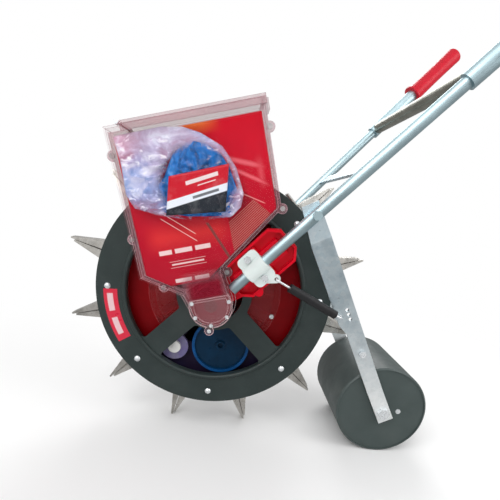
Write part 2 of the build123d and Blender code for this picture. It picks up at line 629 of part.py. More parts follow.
def screw_places():
    """Where the two shells are screwed together, just outside the outline."""
    out = SCREW_TAB_RADIUS - SCREW_TAB_TUCK
    throat_left = Vector(*HOPPER_THROAT_LEFT)
    foot_left = Vector(HOPPER_LEFT, HOPPER_LEFT_FOOT)
    slope = (throat_left + foot_left) * 0.5
    drop = Vector(foot_left.Y - throat_left.Y, foot_left.X - throat_left.X).normalized() * -out
    return [
        (HOPPER_LEFT - out, HOPPER_TOP - TOP_SCREW_DROP),
        (HOPPER_LEFT - out, (HOPPER_TOP + HOPPER_LEFT_FOOT) / 2.0 - SIDE_SCREW_DROP),
        (slope.X - abs(drop.X), slope.Y - abs(drop.Y)),
        (HOPPER_THROAT_RIGHT[0] + out, HOPPER_THROAT_RIGHT[1] - THROAT_SCREW_DROP),
        (HOPPER_RIGHT + out, HOPPER_RIGHT_FOOT - FOOT_SCREW_DROP),
        (HOPPER_RIGHT + out, HOPPER_TOP - TOP_SCREW_DROP),
    ]


def shell_flange(outline):
    """The joint flange round a shell, with its screw tabs and holes."""
    tabs = Sketch() + [Pos(u, v) * Circle(SCREW_TAB_RADIUS) for u, v in screw_places()]
    holes = Sketch() + [Pos(u, v) * Circle(SCREW_RADIUS) for u, v in screw_places()]
    rim = offset(outline, FLANGE_REACH, kind=Kind.INTERSECTION) + tabs - holes
    above = Pos(0, HOPPER_TOP + HOPPER_TOP / 2.0) * Rectangle(4.0 * HOPPER_TOP, HOPPER_TOP)
    return rim - above - offset(outline, -HOPPER_WALL, kind=Kind.INTERSECTION)


def lid_mouth():
    """The part of the top that the lid closes."""
    left = HOPPER_LEFT + LID_HINGE_INSET
    right = HOPPER_RIGHT - HOPPER_WALL
    return Pos((left + right) / 2.0, HOPPER_TOP) * Rectangle(right - left, 4.0 * HOPPER_WALL)


def hopper_front_shell():
    """The near half of the seed box, with the neck and the metering chamber."""
    outline = hopper_outline()
    inside = offset(outline, -HOPPER_WALL, kind=Kind.INTERSECTION)
    depth = HOPPER_SPLIT_Y - HOPPER_FRONT_Y
    split = hopper_plane(HOPPER_SPLIT_Y)
    shell = extrude(split * outline, depth)
    edges = shell.faces().sort_by(Axis.Y)[0].edges().filter_by(GeomType.LINE)
    sides = edges.filter_by(lambda edge: edge.length > 2.0 * NECK_RADIUS).sort_by(Axis.Z)[:-1]
    shell = fillet(sides, SHELL_EDGE) - extrude(split * inside, depth - HOPPER_WALL)
    shell += extrude(split * shell_flange(outline), SHELL_FLANGE)
    neck = Circle(NECK_RADIUS)
    back = hopper_plane(NECK_BACK_Y)
    back_depth = NECK_BACK_Y - HOPPER_SPLIT_Y
    shell += extrude(back * (neck - Circle(AXLE_RADIUS + METER_GAP)), back_depth)
    shell += extrude(back * (hopper_throat() - neck), back_depth)
    window = below_chord(METER_WINDOW_RADIUS, METER_WINDOW_CHORD)
    behind = hopper_plane(HOPPER_FRONT_Y + HOPPER_WALL + METER_GAP / 2.0)
    shell -= extrude(behind * window, 2.0 * HOPPER_WALL)
    shell -= tube_rod(STAY_RADIUS + BRACKET_HOPPER_GAP, 0.0, STAY_LENGTH)
    shell -= extrude(split * lid_mouth(), depth - HOPPER_WALL)
    shell -= across(AXLE_RADIUS + METER_GAP, HOPPER_SPLIT_Y - CUT_MARGIN, NECK_BACK_Y + CUT_MARGIN)
    mouth_half = SPOUT_HALF_WIDTH - 2.0 * SPOUT_WALL
    mouth = block(-mouth_half, mouth_half, HOPPER_SPLIT_Y - CUT_MARGIN, NECK_BACK_Y + CUT_MARGIN,
                  -CHAMBER_RADIUS + MOUTH_SILL, SPOUT_TOP - SPOUT_WALL)
    return shell - mouth


def hopper_back_shell():
    """The far half of the seed box, closed below the throat."""
    outline = hopper_body()
    inside = offset(outline, -HOPPER_WALL, kind=Kind.INTERSECTION)
    depth = HOPPER_BACK_Y - HOPPER_SPLIT_Y
    split = hopper_plane(HOPPER_SPLIT_Y)
    shell = extrude(split * outline, -depth) - extrude(split * inside, -(depth - HOPPER_WALL))
    flange = shell_flange(outline) - hopper_throat() - outline
    shell += extrude(split * flange, -SHELL_FLANGE)
    return shell - extrude(split * lid_mouth(), -(depth - HOPPER_WALL))


def hopper_screws():
    """Screws through the tabs of the two shells."""
    front = HOPPER_SPLIT_Y - SHELL_FLANGE
    screws = []
    for u, v in screw_places():
        spot = hopper_plane(0.0) * Pos(u, v)
        screw = across(SCREW_HEAD_RADIUS, front - SCREW_HEAD_HEIGHT, front)
        screw += across(SCREW_RADIUS, front, HOPPER_SPLIT_Y + SHELL_FLANGE)
        screws.append(Pos(spot.position.X, 0, spot.position.Z) * screw)
    return group(screws)


def lid_hinge_place():
    """The lid's hinge axis in the hopper's drawing plane."""
    return HOPPER_LEFT + LID_HINGE_INSET, HOPPER_TOP + LID_BARREL_RADIUS + LID_CLEARANCE


def lid_hinge_pin():
    """The pin of the lid, held in two ears on the shells."""
    u, v = lid_hinge_place()
    spot = hopper_plane(0.0) * Pos(u, v)
    ear_depth = HOPPER_WALL * 2.0
    pin = across(LID_PIN_RADIUS, HOPPER_FRONT_Y, HOPPER_BACK_Y)
    ear = across(LID_BARREL_RADIUS, HOPPER_FRONT_Y, HOPPER_FRONT_Y + ear_depth)
    ear += across(LID_BARREL_RADIUS, HOPPER_BACK_Y - ear_depth, HOPPER_BACK_Y)
    return Pos(spot.position.X, 0, spot.position.Z) * (pin + ear)


def hopper_lid():
    """The lid: a plate with a rim, a hinge barrel at its front end and a latch tab at its rear end."""
    u, v = lid_hinge_place()
    ear_depth = HOPPER_WALL * 2.0 + LID_CLEARANCE
    right = HOPPER_RIGHT + LID_OVERHANG
    bottom = HOPPER_TOP + LID_CLEARANCE
    near = HOPPER_FRONT_Y - LID_OVERHANG
    far = HOPPER_BACK_Y + LID_OVERHANG
    plane = hopper_plane(far)
    start = u + LID_BARREL_RADIUS + LID_CLEARANCE
    plate = Rectangle(right - start, LID_THICKNESS)
    plate = Pos((start + right) / 2.0, bottom + LID_THICKNESS / 2.0) * plate
    lid = extrude(plane * plate, far - near)
    tongue = Pos((u + start) / 2.0, bottom + LID_THICKNESS / 2.0) * Rectangle(start - u, LID_THICKNESS)
    tongue_plane = hopper_plane(HOPPER_BACK_Y - ear_depth)
    lid += extrude(tongue_plane * tongue, HOPPER_BACK_Y - HOPPER_FRONT_Y - 2.0 * ear_depth)
    spot = hopper_plane(0.0) * Pos(u, v)
    barrel = across(LID_BARREL_RADIUS, HOPPER_FRONT_Y + ear_depth, HOPPER_BACK_Y - ear_depth)
    lid += Pos(spot.position.X, 0, spot.position.Z) * barrel
    middle = (HOPPER_FRONT_Y + HOPPER_BACK_Y) / 2.0
    clip = HOPPER_RIGHT + FLANGE_REACH + LID_CLEARANCE
    latch_middle = bottom + LID_THICKNESS - LATCH_DROP / 2.0
    latch = Pos(clip + LID_THICKNESS / 2.0, latch_middle) * Rectangle(LID_THICKNESS, LATCH_DROP)
    latch += Pos((right + clip) / 2.0, bottom + LID_THICKNESS / 2.0) * Rectangle(clip - right, LID_THICKNESS)
    lid += extrude(hopper_plane(middle + LATCH_DROP) * latch, 2.0 * LATCH_DROP)
    skirt = Pos((start + right) / 2.0, bottom - LID_SKIRT / 2.0) * Rectangle(right - start, LID_SKIRT)
    lid += extrude(hopper_plane(HOPPER_FRONT_Y - LID_CLEARANCE) * skirt, LID_OVERHANG - LID_CLEARANCE)
    bore = across(LID_PIN_RADIUS + RUNNING_CLEARANCE, HOPPER_FRONT_Y, HOPPER_BACK_Y)
    return lid - Pos(spot.position.X, 0, spot.position.Z) * bore


def below_chord(radius, chord):
    """A round face cut straight across above the axle."""
    return Circle(radius) - Pos(0, chord + radius) * Rectangle(4.0 * radius, 2.0 * radius)


def meter_cover():
    """The cover of the metering roller: round below, straight across the top, with a tab at its foot."""
    front = HOPPER_FRONT_Y - METER_COVER_THICKNESS
    face = below_chord(NECK_RADIUS, METER_COVER_CHORD)
    cover = extrude(hopper_plane(HOPPER_FRONT_Y) * face, METER_COVER_THICKNESS)
    tab = Pos(0, -METER_COVER_TAB) * Circle(METER_TAB_RADIUS)
    cover += extrude(SIDE * tab, -front) - across(TIP_RADIUS, HOPPER_FRONT_Y, 0)
    return cover


def meter_cover_screws():
    """Screws round the metering cover."""
    front = HOPPER_FRONT_Y - METER_COVER_THICKNESS
    head = across(METER_SCREW_HEAD_RADIUS, front - METER_SCREW_HEAD_HEIGHT, front)
    ring = NECK_RADIUS - SCREW_HEAD_RADIUS
    heads = [spun(Pos(ring, 0, 0) * head, angle) for angle in METER_SCREW_DEGS]
    return group([*heads, Pos(0, 0, -METER_COVER_TAB) * head])


def seed_wiper():
    """The rubber strip that wipes surplus seed off the metering roller, held in the throat."""
    reach = METER_RADIUS + METER_GAP / 2.0
    blade = WIPER_THICKNESS
    strip = Pos(reach / 2.0 + blade / 2.0, reach + blade / 2.0) * Rectangle(blade, reach)
    foot = Pos(reach, reach + WIPER_FOOT_RISE) * Rectangle(reach, blade)
    inside = offset(hopper_outline(), -HOPPER_WALL, kind=Kind.INTERSECTION)
    profile = (strip + foot) & inside
    profile -= Pos(-reach / 2.0 + blade, 2.0 * reach) * Rectangle(2.0 * reach, reach)
    wiper = extrude(hopper_plane(METER_BACK_Y) * profile, METER_BACK_Y - METER_FRONT_Y)
    return wiper - across(reach, HOPPER_FRONT_Y, NECK_BACK_Y)


def seed_spout():
    """The square tube that leads seed from the neck into the drum, under the axle."""
    spout = block(-SPOUT_HALF_WIDTH, SPOUT_HALF_WIDTH, NECK_BACK_Y, SPOUT_END_Y, SPOUT_BOTTOM, SPOUT_TOP)
    inside = block(-SPOUT_HALF_WIDTH + SPOUT_WALL, SPOUT_HALF_WIDTH - SPOUT_WALL, NECK_BACK_Y, SPOUT_END_Y,
                   SPOUT_BOTTOM + SPOUT_WALL, SPOUT_TOP - SPOUT_WALL)
    plug = block(-SPOUT_HALF_WIDTH, SPOUT_HALF_WIDTH, NECK_BACK_Y, NECK_BACK_Y + SPOUT_WALL,
                 SPOUT_BOTTOM, -CHAMBER_RADIUS)
    return spout - inside + plug


def leaflet():
    """The folded paper that stands behind the bag and follows the walls of the seed box."""
    sheet = offset(hopper_body(), -HOPPER_WALL - PACKING_GAP, kind=Kind.INTERSECTION)
    width = HOPPER_RIGHT - HOPPER_LEFT
    sheet -= Pos(0, LEAFLET_TOP + HOPPER_TOP / 2.0) * Rectangle(2.0 * width, HOPPER_TOP)
    sheet -= Pos(0, LEAFLET_FOOT - HOPPER_TOP / 2.0) * Rectangle(2.0 * width, HOPPER_TOP)
    notch_top = HOPPER_THROAT_RIGHT[1]
    sheet -= Pos(LEAFLET_NOTCH + width / 2.0, notch_top - HOPPER_TOP / 2.0) * Rectangle(width, HOPPER_TOP)
    return extrude(hopper_plane(LEAFLET_BACK_Y) * sheet, LEAFLET_THICKNESS)


def spares_bag():
    """The bag of spare parts packed against the near wall, as its outer shape."""
    sheet = Pos(BAG_U, BAG_V) * RectangleRounded(BAG_WIDTH, BAG_HEIGHT, BAG_CORNER)
    bag = extrude(hopper_plane(BAG_BACK_Y) * sheet, BAG_THICKNESS)
    return fillet(bag.edges().filter_by(Axis.Y, reverse=True), BAG_EDGE)


# Handle frame
def tube(radius, start, end, bore):
    """A round tube along the near handle line."""
    ring = Circle(radius) - Circle(bore)
    return extrude(TUBE_END.offset(start) * ring, end - start)


def tube_rod(radius, start, end):
    """A solid round bar along the near handle line."""
    return extrude(TUBE_END.offset(start) * Circle(radius), end - start)


def stay_tube():
    """The near lower tube, with the cross hole for the arm pivot."""
    stay = tube(STAY_RADIUS, STAY_START, STAY_LENGTH, STAY_RADIUS - STAY_WALL)
    return stay - across(PIVOT_BOLT_RADIUS, -TIP_RADIUS, 0, ARM_PIVOT.X, ARM_PIVOT.Z)


def handle_tube():
    """The near upper tube, which slips over the stay."""
    return tube(HANDLE_RADIUS, HANDLE_START, GRIP_START + GRIP_LENGTH - GRIP_CAP, STAY_RADIUS)


def handle_grip():
    """The near grip: a flared collar, a slightly waisted barrel and a closed, rounded end."""
    inner_end = GRIP_LENGTH - GRIP_CAP
    barrel_end = GRIP_LENGTH - GRIP_EDGE
    waist = (GRIP_RADIUS - GRIP_WAIST, GRIP_LENGTH / 2.0)
    outline = Polyline((HANDLE_RADIUS, inner_end), (HANDLE_RADIUS, 0), (GRIP_COLLAR_RADIUS, 0),
                       (GRIP_COLLAR_RADIUS, GRIP_COLLAR_LENGTH / 2.0), (GRIP_RADIUS, GRIP_COLLAR_LENGTH))
    outline += ThreePointArc((GRIP_RADIUS, GRIP_COLLAR_LENGTH), waist, (GRIP_RADIUS, barrel_end))
    outline += RadiusArc((GRIP_RADIUS, barrel_end), (GRIP_RADIUS - GRIP_EDGE, GRIP_LENGTH), -GRIP_EDGE)
    outline += Polyline((GRIP_RADIUS - GRIP_EDGE, GRIP_LENGTH), (0, GRIP_LENGTH), (0, inner_end),
                        (HANDLE_RADIUS, inner_end))
    grip = revolve(Plane.XZ * make_face(outline), Axis.Z)
    return TUBE_END.offset(GRIP_START).location * grip


def frame_place(along):
    """The point on the near handle line at a distance from its lower end."""
    return TUBE_FOOT + TUBE_DIR * along


def between_tubes(bar, radius):
    """A bar across the machine, cut back to the skins of the two tubes."""
    skin = tube_rod(radius, 0.0, STAY_LENGTH)
    bar = bar - skin - mirrored(skin)
    return max(bar.solids(), key=lambda solid: solid.volume)


def upper_cross_bar():
    """The dark round bar between the handle tubes, coped to them."""
    spot = frame_place(CROSS_BAR_AT)
    return between_tubes(across(CROSS_BAR_RADIUS, spot.Y, -spot.Y, spot.X, spot.Z), HANDLE_RADIUS)


def lower_cross_strap():
    """The flat bar between the stays, with its width along them."""
    spot = frame_place(STRAP_AT)
    along = Vector(cos(TUBE_ANGLE), 0, sin(TUBE_ANGLE))
    plane = Plane(origin=(spot.X, 0, spot.Z), x_dir=along, z_dir=TUBE_UP)
    strap = extrude(plane * Rectangle(STRAP_WIDTH, -2.0 * spot.Y), STRAP_THICKNESS / 2.0, both=True)
    return between_tubes(strap, STAY_RADIUS)


def frame_bolts():
    """The bolts that hold the handle tubes on the stays."""
    place = TUBE_SHEET.offset(HANDLE_RADIUS) * Pos(HANDLE_BOLT_AT, 0)
    head = extrude(place * RegularPolygon(FRAME_BOLT_HEAD_RADIUS, 6), FRAME_BOLT_HEAD_HEIGHT)
    return group([head, mirrored(head)])


# Hub brackets and clamps
def axle_in_sheet():
    """The axle's place in the near tube's sheet, along the tube and up across it."""
    rel = Vector(0, 0, 0) - TUBE_FOOT
    flat = Vector(cos(TUBE_ANGLE), 0, sin(TUBE_ANGLE))
    return rel.dot(flat) / cos(TUBE_SPLAY), rel.dot(TUBE_UP)


def bracket_plate_outline():
    """The plate along the tube, with cut corners and a lug."""
    plate = Rectangle(BRACKET_END - BRACKET_START, 2.0 * BRACKET_HALF_WIDTH)
    plate = Pos((BRACKET_START + BRACKET_END) / 2.0, 0) * chamfer(plate.vertices(), BRACKET_CORNER)
    return plate + Pos(LUG_AT + BRACKET_CORNER, -BRACKET_HALF_WIDTH) * Circle(LUG_RADIUS)


def hub_bracket():
    """The near red moulding: a plate with a raised edge, a cradle for the tube and the bearing boss."""
    back = -BRACKET_SETBACK - BRACKET_PLATE
    outline = bracket_plate_outline()
    bracket = extrude(TUBE_SHEET.offset(back) * outline, BRACKET_PLATE)
    edge = outline - offset(outline, -BRACKET_RIM_WIDTH, kind=Kind.INTERSECTION)
    bracket += extrude(TUBE_SHEET.offset(-BRACKET_SETBACK) * edge, BRACKET_RIM_HEIGHT)
    cradle_length = BRACKET_END - BRACKET_START - 2.0 * BRACKET_CORNER
    cradle_middle = (BRACKET_START + BRACKET_END) / 2.0
    rib = Pos(cradle_middle, 0) * Rectangle(cradle_length, 2.0 * CLAMP_DOME_RADIUS)
    rib += Pos(CLAMP_AT, 0) * Rectangle(CLAMP_LENGTH, 2.0 * CLAMP_HALF_WIDTH)
    bracket += extrude(TUBE_SHEET.offset(-BRACKET_SETBACK) * rib, BRACKET_SETBACK + CLAMP_FACE)
    s, w = axle_in_sheet()
    foot = Pos(BRACKET_CORNER, -BOSS_RADIUS / 3.0) * Rectangle(BRACKET_RIM_WIDTH, BOSS_RADIUS * 2.0)
    neck = make_hull((Pos(s, w) * Circle(BOSS_RADIUS)).edges() + foot.edges())
    bracket += extrude(TUBE_SHEET.offset(back) * neck, BRACKET_PLATE)
    near = boss_near_y()
    bracket += across(BOSS_RADIUS, near, near + BOSS_LENGTH)
    bracket -= across(BUSH_RADIUS, HOPPER_FRONT_Y, 0)
    bracket -= tube_rod(STAY_RADIUS + SEAT_CLEARANCE, -SEAT_CLEARANCE, STAY_LENGTH)
    reach = FLANGE_REACH + BRACKET_HOPPER_GAP
    tabs = Sketch() + [Pos(u, v) * Circle(SCREW_TAB_RADIUS + BRACKET_HOPPER_GAP) for u, v in screw_places()]
    keep_off = offset(hopper_outline(), reach, kind=Kind.INTERSECTION) + tabs
    bracket -= extrude(hopper_plane(near) * keep_off, near - HOPPER_FRONT_Y)
    keep_off = offset(hopper_body(), reach, kind=Kind.INTERSECTION) + tabs
    bracket -= extrude(hopper_plane(HOPPER_BACK_Y) * keep_off, HOPPER_BACK_Y - HOPPER_FRONT_Y)
    for side in (-1, 1):
        spot = Pos(CLAMP_AT, side * CLAMP_BOLT_OFFSET) * Circle(CLAMP_BOLT_RADIUS)
        bracket -= extrude(TUBE_SHEET.offset(back - CUT_MARGIN) * spot, CLAMP_FACE - back + 2.0 * CUT_MARGIN)
    return bracket


def tube_clamp():
    """The near die-cast saddle over the tube, with an ear for the spring link."""
    base = Pos(CLAMP_AT, 0) * RectangleRounded(CLAMP_LENGTH, 2.0 * CLAMP_HALF_WIDTH, CLAMP_CORNER)
    root = Pos(CLAMP_AT, -CLAMP_BOLT_OFFSET) * Circle(EAR_ROOT_RADIUS)
    ear = make_hull((Pos(EAR_AT, -EAR_OFFSET) * Circle(EAR_RADIUS)).edges() + root.edges())
    hole = Pos(EAR_AT, -EAR_OFFSET) * Circle(EAR_HOLE_RADIUS)
    clamp = extrude(TUBE_SHEET.offset(CLAMP_FACE) * (base + ear - hole), CLAMP_PLATE)
    half = CLAMP_LENGTH / 2.0
    dome = tube(CLAMP_DOME_RADIUS, CLAMP_AT - half, CLAMP_AT + half, STAY_RADIUS + SEAT_CLEARANCE)
    below = Pos(CLAMP_AT, 0) * Rectangle(2.0 * CLAMP_LENGTH, 4.0 * CLAMP_HALF_WIDTH)
    dome -= extrude(TUBE_SHEET.offset(CLAMP_FACE) * below, -2.0 * CLAMP_DOME_RADIUS)
    clamp -= tube_rod(STAY_RADIUS + SEAT_CLEARANCE, 0.0, STAY_LENGTH)
    clamp += dome
    for side in (-1, 1):
        spot = Pos(CLAMP_AT, side * CLAMP_BOLT_OFFSET) * Circle(CLAMP_BOLT_RADIUS)
        clamp -= extrude(TUBE_SHEET.offset(CLAMP_FACE - CUT_MARGIN) * spot, CLAMP_PLATE + 2.0 * CUT_MARGIN)
    return clamp


def clamp_bolts():
    """Bolts that draw each clamp onto its bracket."""
    back = -BRACKET_SETBACK - BRACKET_PLATE
    top = CLAMP_FACE + CLAMP_PLATE
    bolts = []
    for side in (-1, 1):
        spot = Pos(CLAMP_AT, side * CLAMP_BOLT_OFFSET)
        bolt = extrude(TUBE_SHEET.offset(back) * spot * Circle(CLAMP_BOLT_RADIUS), top - back)
        head = RegularPolygon(FRAME_BOLT_HEAD_RADIUS, 6)
        bolt += extrude(TUBE_SHEET.offset(top) * spot * head, FRAME_BOLT_HEAD_HEIGHT)
        bolts += [bolt, mirrored(bolt)]
    return group(bolts)


def axle_bushes():
    """The plain bearings in the two bosses."""
    near = boss_near_y()
    bush = across(BUSH_RADIUS, near, near + BOSS_LENGTH)
    bush -= across(AXLE_RADIUS + RUNNING_CLEARANCE, HOPPER_FRONT_Y, 0)
    return group([bush, mirrored(bush)])


# Press arms and roller
def arm_plane():
    """The arm's drawing plane: x down the arm, y across its width, z towards the near side."""
    return Plane(origin=(ARM_PIVOT.X, 0, ARM_PIVOT.Z), x_dir=ARM_DIR, z_dir=(0, -1, 0))


def arm_depth(along):
    """The arm's middle depth at a distance below its pivot."""
    start = ARM_FLAT_TOP
    end = ARM_SPAN - ARM_FLAT_FOOT
    share = min(max((along - start) / (end - start), 0.0), 1.0)
    return ARM_TOP_Y + (ARM_FOOT_Y - ARM_TOP_Y) * share


def press_arm():
    """The near flat bar from the tube to the roller's axle, set inwards towards its foot."""
    half = ARM_THICKNESS / 2.0
    reach = ARM_END + CUT_MARGIN
    stations = (-reach, ARM_FLAT_TOP, ARM_SPAN - ARM_FLAT_FOOT, ARM_SPAN + reach)
    outer = [(t, -arm_depth(t) + half) for t in stations]
    inner = [(t, -arm_depth(t) - half) for t in reversed(stations)]
    edge_plane = Plane(origin=(ARM_PIVOT.X, 0, ARM_PIVOT.Z), x_dir=ARM_DIR, z_dir=ARM_REAR * -1.0)
    sign = 1.0 if edge_plane.y_dir.Y < 0 else -1.0
    profile = Polygon(*[(t, sign * d) for t, d in outer + inner], align=None)
    bent = extrude(edge_plane * profile, ARM_WIDTH, both=True)
    front = -1.0 if arm_plane().y_dir.X > 0 else 1.0
    rear_edge = -front * ARM_WIDTH / 2.0
    front_edge = front * ARM_WIDTH / 2.0
    bulge_edge = front_edge + front * ARM_BULGE
    blank = Polygon(
        (-ARM_END, front_edge), (ARM_WIDE_FROM, bulge_edge), (ARM_WIDE_TO, bulge_edge),
        (ARM_WIDE_TO + ARM_TAPER, front_edge), (ARM_SPAN + ARM_END, front_edge),
        (ARM_SPAN + ARM_END, rear_edge), (-ARM_END, rear_edge), align=None,
    )
    holes = Circle(PIVOT_BOLT_RADIUS + RUNNING_CLEARANCE) + Pos(ARM_SPAN, 0) * Circle(ROLLER_AXLE_RADIUS)
    holes += Pos(MID_BOLT_AT, 0) * Circle(FRAME_BOLT_RADIUS)
    holes += Pos(LINK_LUG_AT, front * LINK_LUG_OFFSET) * Circle(LINK_HOLE_RADIUS)
    arm = bent & extrude(arm_plane() * (blank - holes), -ARM_TOP_Y * 2.0)
    for k in range(LINK_HOLE_COUNT):
        arm -= link_hole(k, DRUM_WIDTH)
    return arm


def link_hole(k, length):
    """A bar along one of the spare link holes, square to the sloping arm."""
    spot, normal = link_hole_place(k)
    return Plane(origin=spot, z_dir=normal).location * Cylinder(LINK_HOLE_RADIUS, length)


def link_hole_place(k):
    """The middle of a spare link hole in the near arm and the direction out of it."""
    along = LINK_HOLE_AT + k * LINK_HOLE_PITCH
    point = ARM_PIVOT + ARM_DIR * along
    slope = (ARM_FOOT_Y - ARM_TOP_Y) / (ARM_SPAN - ARM_FLAT_FOOT - ARM_FLAT_TOP)
    run = Vector(ARM_DIR.X, slope, ARM_DIR.Z)
    normal = (run.cross(ARM_REAR)).normalized()
    if normal.Y > 0:
        normal = normal * -1.0
    return Vector(point.X, arm_depth(along), point.Z), normal


def arm_pivot_bolts():
    """The bolts on which the arms swing, fast in the stays."""
    outer = ARM_PIVOT.Y - STAY_RADIUS / cos(TUBE_SPLAY) - PIVOT_HEAD_RADIUS * tan(TUBE_SPLAY)
    inner = ARM_TOP_Y + ARM_THICKNESS / 2.0 + ARM_NUT_GAP
    bolt = across(PIVOT_BOLT_RADIUS, outer, inner + PIVOT_HEAD_HEIGHT, ARM_PIVOT.X, ARM_PIVOT.Z)
    turn = Plane(origin=(ARM_PIVOT.X, outer, ARM_PIVOT.Z), x_dir=(1, 0, 0), z_dir=(0, -1, 0))
    bolt += extrude(turn * RegularPolygon(PIVOT_HEAD_RADIUS, 6), PIVOT_HEAD_HEIGHT)
    nut = Plane(origin=(ARM_PIVOT.X, inner, ARM_PIVOT.Z), x_dir=(1, 0, 0), z_dir=(0, 1, 0))
    bolt += extrude(nut * RegularPolygon(PIVOT_HEAD_RADIUS, 6), PIVOT_HEAD_HEIGHT)
    return both_sides(bolt)


def arm_mid_bolts():
    """The short bolt in the middle of each arm."""
    point = ARM_PIVOT + ARM_DIR * MID_BOLT_AT
    depth = arm_depth(MID_BOLT_AT)
    reach = ARM_THICKNESS
    bolt = across(FRAME_BOLT_RADIUS, depth - reach, depth + reach, point.X, point.Z)
    turn = Plane(origin=(point.X, depth - reach, point.Z), x_dir=(1, 0, 0), z_dir=(0, -1, 0))
    bolt += extrude(turn * RegularPolygon(FRAME_BOLT_HEAD_RADIUS, 6), FRAME_BOLT_HEAD_HEIGHT)
    nut = Plane(origin=(point.X, depth + reach, point.Z), x_dir=(1, 0, 0), z_dir=(0, 1, 0))
    bolt += extrude(nut * RegularPolygon(FRAME_BOLT_HEAD_RADIUS, 6), FRAME_BOLT_HEAD_HEIGHT)
    return both_sides(bolt)


def roller_axle():
    """The roller's axle with a nut outside each arm."""
    end = -ARM_FOOT_Y + ARM_THICKNESS / 2.0
    axle = across(ROLLER_AXLE_RADIUS, -end, end, ROLLER_X, ROLLER_Z)
    for side in (-1, 1):
        face = Plane(origin=(ROLLER_X, side * end, ROLLER_Z), x_dir=(1, 0, 0), z_dir=(0, side, 0))
        axle += extrude(face * RegularPolygon(NUT_RADIUS, 6), NUT_HEIGHT)
    return axle


def press_roller():
    """The roller's barrel, with its edges taken off."""
    barrel = across(ROLLER_RADIUS, -ROLLER_HALF_LENGTH, ROLLER_HALF_LENGTH, ROLLER_X, ROLLER_Z)
    barrel = chamfer(barrel.edges().filter_by(GeomType.CIRCLE), ROLLER_CHAMFER)
    return barrel - across(ROLLER_RADIUS - ROLLER_WALL, -DRUM_WIDTH, DRUM_WIDTH, ROLLER_X, ROLLER_Z)


def roller_ends():
    """The dished ends of the roller, with hubs that run on the axle."""
    face = -ROLLER_HALF_LENGTH + ROLLER_END_INSET
    end = across(ROLLER_RADIUS - ROLLER_WALL, face, face + ROLLER_END_THICKNESS, ROLLER_X, ROLLER_Z)
    hub_end = -ROLLER_HALF_LENGTH + ROLLER_HUB_LENGTH
    end += across(ROLLER_HUB_RADIUS, -ROLLER_HALF_LENGTH, hub_end, ROLLER_X, ROLLER_Z)
    end -= across(ROLLER_AXLE_RADIUS + RUNNING_CLEARANCE, -DRUM_WIDTH, DRUM_WIDTH, ROLLER_X, ROLLER_Z)
    return group([end, mirrored(end)])


def roller_plugs():
    """The small filler plug on each end of the roller."""
    face = -ROLLER_HALF_LENGTH + ROLLER_END_INSET
    plug = across(ROLLER_PLUG_RADIUS, -ROLLER_HALF_LENGTH, face, ROLLER_X + ROLLER_PLUG_OFFSET, ROLLER_Z)
    return group([plug, mirrored(plug)])


# Spring link
def link_ends():
    """The outer ends of the spring link's straight run, beside the clamp's ear and the arm's lug."""
    ear = TUBE_FOOT + TUBE_DIR * EAR_AT - TUBE_UP * EAR_OFFSET + TUBE_OUT * (CLAMP_FACE + CLAMP_PLATE / 2.0)
    lug = ARM_PIVOT + ARM_DIR * LINK_LUG_AT - ARM_REAR * LINK_LUG_OFFSET
    lug = Vector(lug.X, arm_depth(LINK_LUG_AT), lug.Z)
    return ear, lug


def spring_rod():
    """The hooked rod of the near spring link."""
    ear, lug = link_ends()
    out = Vector(0, -1, 0)
    ear_out = ear + out * (LINK_STANDOFF + SLEEVE_RADIUS)
    lug_out = lug + out * (LINK_STANDOFF + SLEEVE_RADIUS)
    tail = out * -(LINK_TAIL + CLAMP_PLATE)
    path = FilletPolyline(ear + tail, ear_out, lug_out, lug + tail, radius=LINK_BEND)
    section = Plane(origin=path @ 0, z_dir=path % 0) * Circle(LINK_ROD_RADIUS)
    return sweep(section, path=path)


def spring_sleeve():
    """The black sleeve round the spring of the near link."""
    ear, lug = link_ends()
    out = Vector(0, -1, 0) * (LINK_STANDOFF + SLEEVE_RADIUS)
    start = ear + out
    run = (lug - ear).normalized()
    plane = Plane(origin=start + run * SLEEVE_START, z_dir=run)
    ring = Circle(SLEEVE_RADIUS) - Circle(LINK_ROD_RADIUS)
    return extrude(plane * ring, SLEEVE_LENGTH)


# Assembly
def moving_jaws():
    """One moving jaw for each beak, by node name."""
    jaw = moving_jaw()
    angles = [FIRST_BEAK_DEG + k * BEAK_STEP_DEG for k in range(BEAK_COUNT)]
    return {f"moving_jaw_{k + 1:02d}": spun(jaw, angle) for k, angle in enumerate(angles)}


def round_the_wheel(shape):
    """One copy of a beak piece at every beak."""
    return group([spun(shape, FIRST_BEAK_DEG + k * BEAK_STEP_DEG) for k in range(BEAK_COUNT)])


